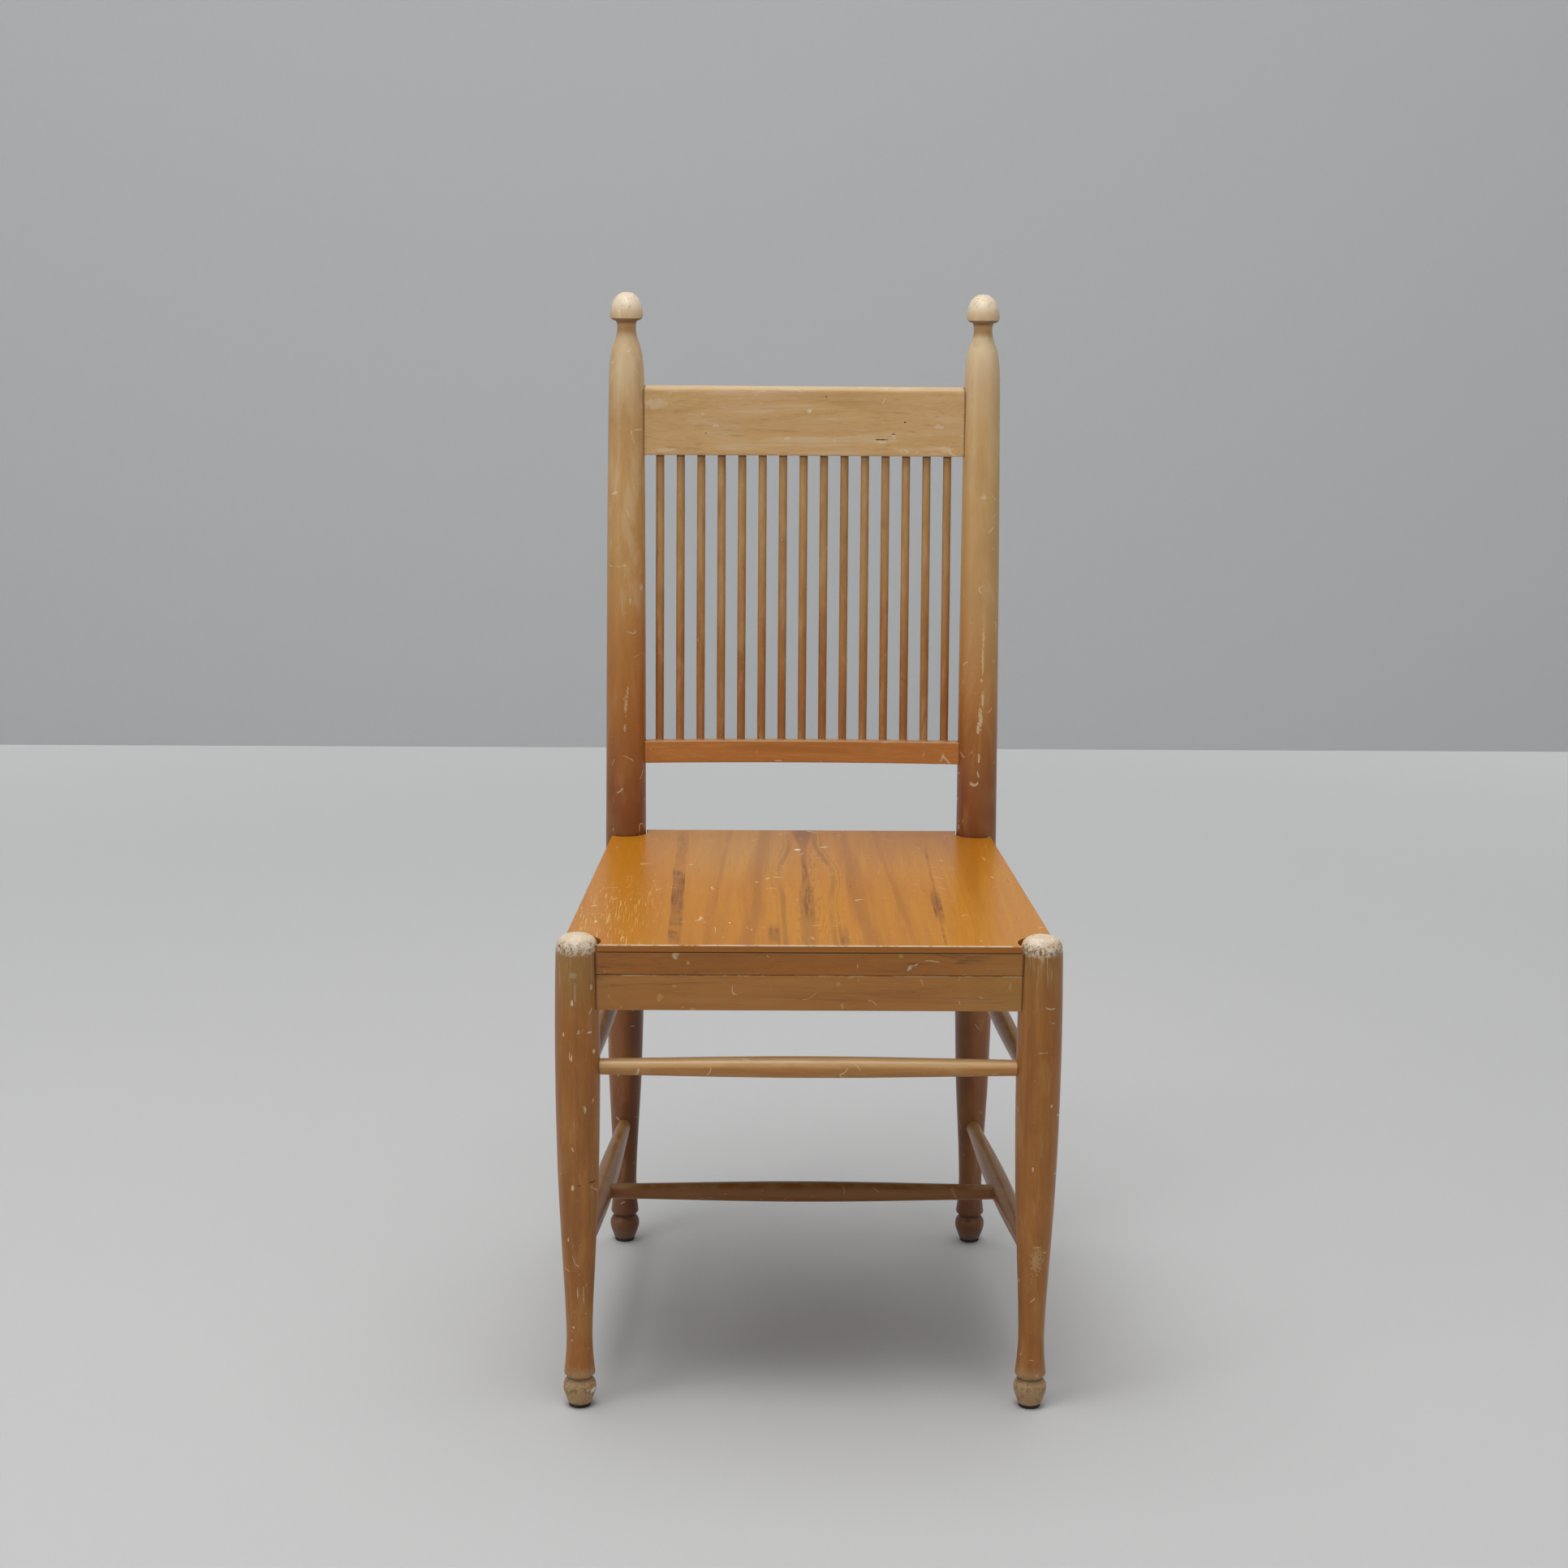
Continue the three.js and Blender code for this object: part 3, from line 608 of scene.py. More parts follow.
def front_leg_varnish():
    leg = Finish("front_leg_varnish", "#a56724", 0.42, "Z", 0.2, 0.28)
    leg.grain("#875016", "#b2752c", streak=190.0, amount=0.6)
    leg.coat(leg.patches(9, 2, 0.4, 0.65), "#9a5a1b", amount=0.4)
    leg.mottle("#7e4d19", "#b88946", 65, 0.35)
    grey = leg.border(leg.z, 0.365, 0.45, 60, 0.03, lie=True)
    right = leg.ramp(leg.x, -0.01, 0.01)
    leg.coat(leg.times(grey, leg.less(0.6, leg.times(right, 0.3))), "#9d7a40", 0.55)
    thin = leg.noise(560, 3, 0.6, lie=True)
    runs = leg.times(leg.ramp(thin, 0.54, 0.66), leg.ramp(leg.z, 0.4, 0.445))
    leg.coat(runs, "#cdb88f", 0.65, amount=0.6)
    leg.coat(leg.ramp(thin, 0.66, 0.72), "#d3bf98", 0.6, amount=0.3)
    leg.nicks("#e2cfae", 80, 0.055, 0.35, lie=(1, 1, 0.6))
    leg.nicks("#d8c29c", 210, 0.1, 0.2, leg.patches(14, 2, 0.5, 0.62))
    leg.nicks("#dcc7a2", 150, 0.1, 0.5, leg.ramp(leg.z, 0.2, 0.1), lie=(1, 1, 0.4))
    leg.nicks("#dcc7a2", 60, 0.035, 0.4, lie=(1, 1, 0.2))
    leg.scratches("#dcc7a2", 30, 0.012, 0.6)
    for place, reach, colour in (
        ((-213.4, -253.6, 423.6), (3.6, 6, 3.4), "#ad9366"),
        ((-211.5, -253.8, 407), (1.2, 6, 11), "#a88e62"),
        ((-214.3, -253.5, 397.8), (1.2, 6, 3.2), "#e0cdaa"),
        ((-198.8, -250.2, 369), (2.6, 6, 0.8), "#e2cfac"),
        ((-195, -246.7, 350.2), (1.5, 6, 2.2), "#dcc7a2"),
        ((-215.2, -253.3, 345.5), (0.9, 6, 3), "#e0cdaa"),
        ((-222.3, -250.1, 366.9), (0.8, 6, 1.9), "#e0cdaa"),
        ((-197, -248.8, 411), (1, 6, 2.6), "#cfb88f"),
        ((-214.9, -250.4, 220.7), (1.7, 6, 2.5), "#e0c79c"),
        ((-210.1, -250.6, 208.4), (2, 6, 1.3), "#8b7549"),
        ((-197.9, -245.6, 224.7), (4, 6, 1.2), "#5d360e"),
        ((-208.9, -250.9, 222.8), (1.5, 6, 1), "#693f13"),
        ((-211.2, -246.9, 116.3), (0.5, 6, 7), "#d6bf97"),
        ((-205.8, -246.1, 114), (0.4, 6, 9), "#d6bf97"),
        ((-215.3, -245, 81.4), (1.2, 6, 1.1), "#d8c29c"),
        ((-216.9, -243.9, 68.2), (1.3, 6, 0.7), "#d8c29c"),
        ((-219.4, -246.8, 168.5), (0.8, 6, 2), "#d6bf97"),
        ((212.5, -247.5, 163), (3.2, 6, 0.6), "#d6bf97"),
        ((219, -246, 157), (2.2, 6, 0.5), "#d6bf97"),
        ((206, -250, 240), (0.9, 6, 2.6), "#dcc7a2"),
    ):
        leg.mark(colour, place, reach, amount=0.85)
    leg.mark("#c9ab7a", (212, -247, 150), (5, 8, 12), 1.6, 0, 0.6, 0.45)
    foot = leg.border(leg.z, 0.046, 0.026, 150, 0.006)
    leg.coat(foot, "#b3946c", 0.75, amount=0.85)
    leg.coat(leg.times(foot, leg.patches(240, 4, 0.5, 0.62, 0.7)), "#715224", 0.8, amount=0.55)
    leg.nicks("#e0d2b8", 260, 0.26, 0.35, foot, -0.2)
    leg.coat(leg.band(leg.z, 0.0278, 0.0302, 0.001), "#543412", 0.8, amount=0.7)
    leg.mark("#e4d9c4", (-197.7, -241.3, 17.9), (2.6, 8, 2.6))
    bare = leg.border(leg.z, 0.4395, 0.4465, 330, 0.006)
    leg.coat(bare, "#dcc7ab", 0.72, -0.06)
    rim = leg.times(bare, leg.ramp(leg.z, 0.4555, 0.4475))
    crust = leg.times(rim, leg.patches(230, 4, 0.5, 0.6, 0.7))
    leg.coat(crust, "#8a5c20", 0.6, 0.35, amount=0.9)
    pale = leg.times(bare, leg.patches(120, 4, 0.5, 0.66, 0.7))
    leg.coat(pale, "#f0e2d0", 0.8, 0.1, amount=0.75)
    stain = leg.times(bare, leg.patches(95, 5, 0.46, 0.3, 0.75))
    leg.coat(stain, "#a27a45", 0.7, -0.2, amount=0.85)
    leg.coat(leg.times(rim, leg.patches(300, 3, 0.56, 0.62, 0.7)), "#6e4719", 0.7, -0.3)
    return leg.done()


def rear_post_varnish():
    post = Finish("rear_post_varnish", "#b5803f", 0.4, "Z", 0.2, 0.24)
    post.grain("#96632c", "#c8965a", streak=190.0, amount=0.55)
    aged = post.fade(post.z, [
        (0, "#562b13"), (0.1, "#743915"), (0.3, "#9a5820"), (0.44, "#783a0c"),
        (0.5, "#83420c"), (0.6, "#b6782f"), (0.75, "#c8995b"), (0.86, "#d0a66d"),
        (0.92, "#dabd92"), (0.945, "#dec69e"), (0.99, "#e6d7b8")])
    post.coat(0.9, aged)
    post.coat(post.patches(13, 2, 0.45, 0.65), "#b07a3c", amount=0.3)
    post.mottle("#a07a45", "#dccaa4", 70, 0.3, post.ramp(post.z, 0.5, 0.72))
    post.mottle("#7d4213", "#c08748", 70, 0.3, post.ramp(post.z, 0.72, 0.5))
    up = crest_height(post)
    neck = post.band(up, 0.508, 0.5235, 0.004)
    post.coat(neck, "#c7914e", 0.4, amount=0.75)
    # Painted shadow: a thin dark band on the neck just below the cap's lip.
    post.coat(post.band(up, 0.5185, 0.5238, 0.0016), "#6b4520", 0.5, amount=0.8)
    cap = post.border(up, 0.5232, 0.5242, 200, 0.0004)
    post.coat(cap, "#e6d4b8", 0.36)
    tan = post.times(cap, post.ramp(up, 0.538, 0.5245))
    post.coat(tan, "#c39c69", amount=0.75)
    post.coat(post.times(cap, post.patches(420, 3, 0.5, 0.3, 0.6, lie=True)), "#d0b68d")
    high = post.ramp(post.z, 0.46, 0.62)
    post.nicks("#e6d6b8", 80, 0.055, 0.35, high, lie=(1, 1, 0.6))
    post.nicks("#dcc7a2", 210, 0.1, 0.2, post.patches(16, 2, 0.48, 0.62))
    post.nicks("#e0cdaa", 60, 0.03, 0.4, lie=(1, 1, 0.2))
    post.scratches("#e4d3b2", 30, 0.012, 0.6)
    scuffs = (
        ((181.9, 172.6, 573), (2.2, 8, 11)), ((179.8, 171.3, 562), (1.6, 8, 6)),
        ((183.9, 174.7, 591.9), (1.5, 8, 7)), ((183.5, 178.9, 632), (1.2, 8, 15)),
        ((184, 182, 655), (1, 8, 8)), ((182.7, 176.9, 611.1), (1.2, 8, 1.8)),
        ((180.9, 168.5, 531), (1, 8, 5)), ((165.2, 160.5, 465), (1.1, 8, 4)),
        ((-180.3, 173.1, 583.1), (1.5, 8, 11)), ((-178.5, 174, 598), (1.1, 8, 6)),
        ((-181, 170, 560), (1, 8, 5)))
    for place, reach in scuffs:
        post.mark("#dcc7a0", place, reach, 0.95, -0.08, 0.6, 0.75)
    # Painted light: the right post lighter at mid height, where more light falls on it from the
    # right.
    painted_light_right = post.times(post.ramp(post.x, 0, 0.01), post.band(post.z, 0.62, 0.9, 0.08))
    post.coat(painted_light_right, "#d3b07a", amount=0.35)
    richer = post.times(post.ramp(post.x, 0, -0.01), post.band(post.z, 0.53, 0.66, 0.05))
    post.coat(richer, "#a5601a", amount=0.4)
    # Painted shade: the inner faces of the rear legs darker below the seat, where the seat shades
    # them.
    inside = post.ramp(post.absolute(post.x), 0.19, 0.166)
    below_seat = post.band(post.z, 0.03, 0.44, 0.02)
    post.coat(post.times(inside, below_seat), "#502a0f", amount=0.5)
    foot = post.border(post.z, 0.018, 0.008, 150, 0.004)
    post.coat(foot, "#75685a", 0.8, amount=0.4)
    post.coat(post.band(post.z, 0.0278, 0.0302, 0.001), "#3c2214", 0.8, amount=0.8)
    return post.done()


def crest_varnish():
    crest = Finish("crest_varnish", "#d1a86f", 0.48, "X", 0.12, 0.3)
    crest.grain("#bb8e59", "#cfae7e", streak=230.0, amount=0.4)
    up = crest_height(crest)
    crest.coat(crest.patches(12, 2, 0.42, 0.62), "#d0a271", amount=0.4)
    crest.coat(crest.patches(170, 4, 0.56, 0.7, 0.5, lie=True), "#dccbad", 0.65, amount=0.3)
    crest.mottle("#a8803f", "#d9c6a2", 45, 0.25)
    dark = crest.noise(430, 4, 0.65, lie=True)
    crest.coat(crest.ramp(dark, 0.56, 0.68), "#a07846", amount=0.42)
    crest.coat(crest.ramp(dark, 0.42, 0.32), "#dcc6a0", amount=0.3)
    # Painted highlight: the rounded top of the crest in a lighter cream, where the light from
    # above falls.
    band = crest.border(up, 0.4515, 0.4545, 160, 0.001, lie=True)
    crest.coat(band, "#cdb995", 0.6, amount=0.5)
    low = crest.border(up, 0.3882, 0.3868, 160, 0.0006, lie=True)
    crest.coat(low, "#dfcba8", 0.6, amount=0.5)
    crest.nicks("#e2d3b8", 110, 0.08, 0.25, lie=(0.4, 1, 1))
    crest.nicks("#946f3f", 120, 0.05, 0.2, lie=(0.5, 1, 1))
    crest.scratches("#e2d3b8", 26, 0.01, 0.62)
    for colour, place, reach, deep, amount in (
        ("#5a3b1e", (78.4, 225.3, 850.5), (6, 8, 0.7), -0.5, 0.9),
        ("#e0cda8", (79, 225.3, 848), (5.5, 8, 1.4), -0.2, 0.7),
        ("#5a3b1e", (91.5, 224.8, 856), (2, 8, 0.6), -0.4, 0.9),
        ("#e0cda8", (91, 224.8, 853.4), (2.6, 8, 2), -0.2, 0.6),
        ("#4d3118", (102.9, 225.4, 868.3), (1.4, 8, 0.8), -0.5, 1),
        ("#d6d6b2", (5.1, 231.1, 878.3), (2.3, 8, 2), 0.1, 0.9),
        ("#946f3f", (22.2, 232.5, 892.7), (1, 8, 1), -0.3, 0.8),
        ("#7a5630", (-99.7, 224.3, 855.9), (1.1, 8, 0.8), -0.3, 0.8),
        ("#e0d0b4", (137.1, 221.4, 864.3), (4, 10, 2.4), 0, 0.4),
        ("#e0d0b4", (144, 218.1, 841.9), (7, 10, 3), 0, 0.4),
        ("#e0d0b4", (-140.6, 218.2, 839.5), (13, 12, 2), 0, 0.4),
        ("#d9c7a6", (-113.9, 225.2, 875), (8, 12, 1.2), 0, 0.35),
        ("#e0d0b4", (-149.9, 221.8, 886), (12, 12, 6), 0, 0.3),
        ("#e0d0b4", (-17.1, 227.9, 850.9), (3, 12, 1.6), 0, 0.5),
    ):
        crest.mark(colour, place, reach, 0.9, deep, 0.65, amount)
    crest.joint(post_distance(crest), 0.0204, 0.0192, "#6b4a2a", 0.75)
    return crest.done()


def lower_rail_varnish():
    rail = Finish("lower_rail_varnish", "#bb7734", 0.42, "X", 0.2, 0.27)
    rail.grain("#9c5f23", "#cb8c44", streak=230.0, amount=0.5)
    up = crest_height(rail)
    dust = rail.border(up, 0.0925, 0.0940, 300, 0.0014)
    rail.coat(rail.times(dust, rail.patches(40, 4, 0.3, 0.6)), "#b58b5b", 0.8)
    low = rail.border(up, 0.0732, 0.0722, 200, 0.0006)
    rail.coat(low, "#cfa672", 0.6, amount=0.6)
    rail.nicks("#e0cdaa", 110, 0.07, 0.25, lie=(0.4, 1, 1))
    rail.scratches("#e0cdaa", 26, 0.01, 0.62)
    rail.mark("#e0cdaa", (-24, 190, 523), (4.5, 8, 0.5), 0.3)
    rail.joint(post_distance(rail), 0.0217, 0.0206, "#55330c", 0.75)
    return rail.done()


def spindle_varnish():
    rod = Finish("spindle_varnish", "#b67c3b", 0.42, "Z", 0.2, 0.27)
    rod.grain("#8f5b26", "#ca944f", 1500, 260, amount=0.6)
    each = rod.noise_at(rod.stretched((1, 0, 0.06)), 95, 2, 0.5)
    rod.coat(rod.ramp(each, 0.4, 0.6), "#ca9953", amount=0.5)
    rod.coat(rod.ramp(each, 0.5, 0.35), "#a26e30", amount=0.4)
    up = crest_height(rod)
    pale = rod.border(up, 0.12, 0.3, 130, 0.12, lie=True)
    rod.coat(pale, "#b08d5c", 0.5, amount=0.6)
    rod.coat(rod.ramp(up, 0.31, 0.13), "#90521b", amount=0.6)
    rod.mottle("#7c4c1f", "#c9a673", 90, 0.35)
    rod.nicks("#e2cfae", 130, 0.10, 0.3, lie=(1, 1, 0.5))
    rod.coat(rod.ramp(up, 0.0965, 0.0945), "#d8c6aa", 0.8, amount=0.5)
    rod.coat(rod.ramp(up, 0.3835, 0.386), "#4e3116", 0.7, amount=0.8)
    return rod.done()


def apron_varnish():
    apron = Finish("apron_varnish", "#a46620", 0.42, "X", 0.2, 0.3)
    apron.grain("#874f16", "#b27328", streak=190.0, amount=0.5)
    slanted = apron.stretched((0.06, 1, 1), (0, math.radians(-14), 0))
    flame = apron.noise_at(slanted, 62, 4, 0.6, 0.8)
    apron.coat(apron.band(flame, 0.575, 0.605, 0.01), "#62350d", amount=0.7)
    apron.coat(apron.band(flame, 0.44, 0.455, 0.008), "#70400f", amount=0.45)
    apron.coat(apron.patches(10, 2, 0.45, 0.65), "#ad6820", amount=0.4)
    in_front = apron.ramp(apron.y, 0, -0.1)
    lower = apron.times(apron.ramp(apron.z, 0.4225, 0.4215), in_front)
    apron.coat(lower, "#bf8a4a", amount=0.3)
    dusty = apron.ramp(apron.x, 0.1, 0.19)
    apron.coat(dusty, "#a67d39", 0.6, amount=0.35)
    apron.mottle("#8a5520", "#b9854a", 45, 0.25)
    apron.nicks("#d3bb92", 100, 0.05, 0.25)
    apron.scratches("#d8c39c", 26, 0.01, 0.62)
    for place, reach in (
        ((-135.2, -245, 400.8), (2.8, 8, 3.8)), ((37.5, -245, 420.3), (2.8, 8, 1.4)),
        ((26, -245, 414), (2, 8, 2.2)), ((29.9, -245, 393.4), (1.6, 8, 2.6)),
        ((181.6, -245, 412.6), (1.2, 8, 4)), ((82.3, -245, 440.5), (2.4, 8, 1.8)),
        ((-109.6, -245, 433.2), (1.8, 8, 1.6)), ((-122.1, -245, 411.4), (2.2, 8, 1.4)),
        ((-106.2, -245, 389.8), (3, 8, 1.2)), ((-170.1, -245, 391.6), (0.9, 8, 1.8)),
    ):
        apron.mark("#be9752", place, reach, 0.8, -0.05, 0.65, 0.7)
    seam = apron.times(apron.band(apron.z, 0.4209, 0.4218, 0.0003), in_front)
    torn = apron.times(seam, apron.patches(55, 4, 0.47, 0.54, 0.7))
    apron.coat(torn, "#c6ad86", 0.7, amount=0.8)
    arris = apron.border(apron.z, 0.4414, 0.442, 200, 0.0004)
    apron.coat(arris, "#c79f66", 0.6, amount=0.25)
    apron.joint(apron.absolute(apron.x), 0.1912, 0.1932, "#462506")
    return apron.done()


def frame_varnish(name, along, shade=0.0):
    """The side boards and the stretchers, with dust on what looks up, and a painted shade, by its
    share, on the pieces in the seat's shadow.
    """
    wood = Finish(name, "#b06f2a", 0.38, along, 0.25, 0.25)
    wood.grain("#8a511b", "#c0843b", amount=0.55)
    wood.coat(wood.patches(11, 2, 0.42, 0.62), "#a55f20", amount=0.5)
    wood.nicks("#dcc7a0", 90, 0.09, 0.3)
    wood.nicks("#d3bb92", 190, 0.14, 0.2, wood.patches(17, 2, 0.5, 0.62))
    wood.scratches("#dcc8a4", 28, 0.012, 0.6)
    dust = wood.times(wood.ramp(wood.facing_up(), 0.3, 0.9), wood.patches(48, 4, 0.4, 0.62, 0.65))
    wood.coat(dust, "#ccaf6e", 0.75, amount=0.45)
    # Painted shade: the whole piece darkened by the share given, for the pieces in the seat's
    # shadow.
    wood.coat(shade, "#3a200e")
    return wood.done()


def front_stretcher_varnish():
    rod = Finish("front_stretcher_varnish", "#b67a36", 0.32, "X", 0.3, 0.25)
    rod.grain("#96602a", "#c99355", amount=0.5)
    # Painted highlight: the upper side of the rod lighter, where the light from above falls.
    rod.coat(rod.ramp(rod.facing_up(), 0, 0.6), "#e3ba82", 0.36, amount=0.8)
    rod.mottle("#8f5c28", "#dcb988", 50, 0.25)
    rod.nicks("#e6d3b0", 80, 0.055, 0.35)
    rod.nicks("#6f4317", 90, 0.04, 0.3)
    rod.scratches("#e6d3b0", 28, 0.012, 0.6)
    rod.joint(rod.absolute(rod.x), 0.1895, 0.1912, "#44280f")
    return rod.done()


def seat_veneer():
    """Two leaves of flat-sawn veneer, opened like a book about the seat's middle line."""
    seat = Finish("seat_veneer", "#c47e16", 0.3, "Y", 0.1, 0.25, shine=0.34)
    seat.grain("#b36e15", "#d09126", 1300, 140, 0.012, 0.4)
    from_seam = seat.absolute(seat.less(seat.x, 0.0005))
    pale = seat.times(seat.band(seat.x, -0.11, -0.015, 0.02), seat.ramp(seat.y, -0.08, 0.1))
    seat.coat(pale, "#c59a58", 0.4, amount=0.35)
    middle = seat.times(seat.ramp(from_seam, 0.045, 0.02), seat.ramp(seat.y, 0.02, -0.12))
    seat.coat(middle, "#d2902a", amount=0.3)
    to_right = seat.plus(0.15, seat.times(seat.ramp(seat.x, 0.03, 0.1), 0.35))
    seat.coat(seat.times(seat.ramp(seat.y, 0, 0.19), to_right), "#9a5a18")
    fan = seat.plus(from_seam, seat.times(seat.y, 0.049))
    opened = seat.add("ShaderNodeCombineXYZ", {0: fan, 1: seat.times(seat.y, 0.045)}).outputs[0]
    wide = seat.noise_at(opened, 34, 4, 0.6, 0.9)
    seat.coat(seat.ramp(wide, 0.5, 0.72), "#a76717", amount=0.4)
    seat.coat(seat.ramp(seat.x, -0.10, -0.16), "#bd760c", amount=0.5)
    vein(seat, fan, 0.0455, 0.013, "#9a6026", 0.42, 0.5)
    vein(seat, fan, 0.083, 0.004, "#935a1c", 0.35, 0.6)
    outward = seat.plus(0.0125, seat.times(seat.ramp(seat.y, 0.13, 0.01), 0.0145))
    bend = seat.less(outward, seat.times(seat.ramp(seat.y, -0.02, -0.09), 0.0045))
    vein(seat, from_seam, bend, 0.0042, "#8b5622", 0.55, 0.5)
    vein(seat, from_seam, seat.plus(bend, 0.006), 0.0012, "#7d4a1c", 0.35, 1.2)
    arches(seat, from_seam)
    flame(seat, from_seam)
    for streak in (
        (-0.1225, 0.0065, -0.24, 0.03, 0.75), (-0.1215, 0.006, 0.03, 0.17, 0.3),
        (0.1235, 0.0045, -0.155, -0.065, 0.8), (0.1235, 0.0014, -0.24, 0.11, 0.5),
        (-0.0315, 0.006, -0.245, -0.175, 0.5), (0.0315, 0.005, -0.245, -0.19, 0.5),
    ):
        dark_streak(seat, *streak)
    slanted = seat.less(seat.x, seat.times(seat.y, 0.09))
    amber = seat.times(seat.band(slanted, 0.158, 0.172, 0.007), seat.ramp(seat.y, -0.12, 0.02))
    seat.coat(amber, "#b0670a", amount=0.5)
    thin = seat.noise_at(seat.stretched((1, 0.03, 1)), 950, 1, 0.4, 0.8)
    left = seat.times(seat.ramp(seat.x, -0.125, -0.15), seat.ramp(seat.y, 0.02, -0.1))
    seat.coat(seat.times(seat.ramp(thin, 0.63, 0.68), left), "#e8c982", 0.5, -0.03, amount=0.5)
    pores = seat.noise(620, 2, 0.5, 0.1, lie=True)
    seat.coat(seat.ramp(pores, 0.64, 0.72), "#d9ab5c", 0.45, amount=0.3)
    seat.coat(seat.ramp(pores, 0.36, 0.28), "#8f550d", 0.45, amount=0.35)
    seat.nicks("#f0e2c8", 55, 0.03, 0.35)
    seat.nicks("#e8cb9a", 110, 0.04, 0.22)
    seat.scratches("#ecd5aa", 22, 0.008, 0.62)
    for colour, place, reach in (
        ("#f0e6d4", (-5.1, 105.3, 450), (3.4, 3.6, 8)),
        ("#8b2a17", (43.6, -38.9, 450), (1.3, 2.4, 8)),
        ("#f0e6d4", (-72.8, -169.5, 450), (0.9, 2, 8)),
        ("#ead6b0", (-95.4, -167, 450), (1.4, 1, 8)),
        ("#ead6b0", (-57, -186, 450), (1.6, 0.7, 8)),
        ("#ead6b0", (-52.4, -193, 450), (0.5, 3, 8)),
        ("#ead6b0", (156, -226, 450), (1.6, 1, 8)),
    ):
        seat.mark(colour, place, reach, 0.8, -0.03, 0.5, 0.8)
    edge = seat.ramp(seat.z, 0.4491, 0.4487)
    seat.coat(edge, "#a8661f", 0.5)
    line = seat.band(seat.z, 0.4463, 0.4466, 0.0002)
    seat.coat(line, "#6b3d10", 0.6, amount=0.35)
    # Painted shade: the lowest edge of the panel darkened nearly black, standing for the shadowed
    # gap over the apron.
    gap_shade = seat.ramp(seat.z, 0.4441, 0.4435)
    seat.coat(gap_shade, "#2f1a08", 0.7, amount=0.9)
    front_edge = (PANEL_FRONT_Y + SHIFT) * MM
    lip = seat.border(seat.y, front_edge + 0.0012, front_edge + 0.0009, 220, 0.0003)
    arris = seat.times(lip, seat.ramp(seat.z, 0.4490, 0.4494))
    # The front arris, broken into worn dashes, painted near white: part wear, part a painted
    # highlight along the edge.
    worn = seat.patches(60, 4, 0.3, 0.5, 0.7)
    seat.coat(seat.times(arris, worn), "#fbead0", 0.5, amount=0.95)
    return seat.done()


def broken(seat, scale, low, high):
    """Breaks in a line of figure, drawn out along the grain."""
    return seat.patches(scale, 4, low, high, 0.65, 0.3, lie=True)


def vein(seat, across, centre, half, colour, amount, torn):
    """A soft darker line of figure at a distance from the seam, the same on both leaves."""
    sway = seat.less(seat.noise(150, 3, 0.6, lie=True), 0.5)
    moved = seat.plus(seat.less(across, centre), seat.times(sway, seat.times(half, torn * 3)))
    off = seat.absolute(moved)
    near = seat.ramp(off, half, half * 0.2)
    mask = seat.times(near, broken(seat, 60, 0.3, 0.55))
    seat.coat(mask, colour, 0.36, amount=amount)


def flame(seat, from_seam):
    """The dark tongue of heartwood that both leaves share, darkest before the middle."""
    wide_rear = seat.times(seat.ramp(seat.y, 0.10, 0.175), 0.0065)
    wide_front = seat.times(seat.ramp(seat.y, 0, -0.08), 0.0045)
    half = seat.plus(0.0038, seat.plus(wide_rear, wide_front))
    rough = seat.times(seat.less(seat.noise(260, 4, 0.7, lie=True), 0.5), 0.006)
    off = seat.sums("DIVIDE", seat.plus(from_seam, rough), half)
    near = seat.ramp(off, 1.15, 0.55)
    seat.coat(near, "#8f5a28", 0.36, amount=0.45)
    back = seat.times(near, seat.ramp(seat.y, 0.1, 0.17))
    seat.coat(back, "#7a4a26", 0.36, amount=0.5)
    core = seat.times(seat.ramp(off, 0.95, 0.3), seat.band(seat.y, -0.15, 0.08, 0.035))
    seat.coat(seat.times(core, broken(seat, 330, 0.42, 0.62)), "#663d17", 0.4, amount=0.55)
    dashes = seat.times(seat.ramp(off, 0.45, 0.1), seat.band(seat.y, -0.13, 0.09, 0.02))
    dashes = seat.times(dashes, broken(seat, 420, 0.5, 0.6))
    seat.coat(dashes, "#4c2a0e", 0.42, -0.02, amount=0.6)


def arches(seat, from_seam):
    """Nested arches of flat-sawn figure on either side of the seam."""
    near = seat.ramp(from_seam, 0.034, 0.008)
    drawn = seat.add("ShaderNodeCombineXYZ", {0: from_seam, 1: seat.times(seat.y, 0.16)})
    sway = seat.less(seat.noise_at(drawn.outputs[0], 70, 3, 0.6, 0.5), 0.5)
    wobble = seat.times(sway, 0.03)
    arch = seat.less(seat.plus(from_seam, wobble), seat.times(seat.y, 0.06))
    ring = seat.sums("SINE", seat.times(arch, 1250))
    lines = seat.times(seat.ramp(ring, 0.45, 1), near)
    seat.coat(seat.times(lines, broken(seat, 45, 0.42, 0.6)), "#80501f", amount=0.4)


def dark_streak(seat, middle, half, front, rear, amount):
    """A brown line of heartwood from front to back, with darker broken dashes in it."""
    sway = seat.times(seat.less(seat.noise(180, 3, lie=True), 0.5), 0.005)
    off = seat.absolute(seat.plus(seat.less(seat.x, middle), sway))
    length = seat.band(seat.y, front, rear, 0.02)
    body = seat.times(seat.ramp(off, half, half * 0.8), length)
    shade = seat.patches(28, 3, 0.35, 0.6)
    seat.coat(seat.times(body, amount, seat.plus(0.4, seat.times(shade, 0.6))), "#8c5623", 0.38)
    dashes = seat.times(body, broken(seat, 380, 0.46, 0.6))
    seat.coat(seat.times(dashes, shade), "#57330f", 0.42, -0.02, amount=amount * 0.75)


def bare_beech():
    beech = Finish("bare_beech", "#b79a70", 0.8, "Z")
    beech.grain("#9d7d53", "#c6ac84", amount=0.6)
    beech.nicks("#7c6244", 70, 0.08, 0.2)
    return beech.done()


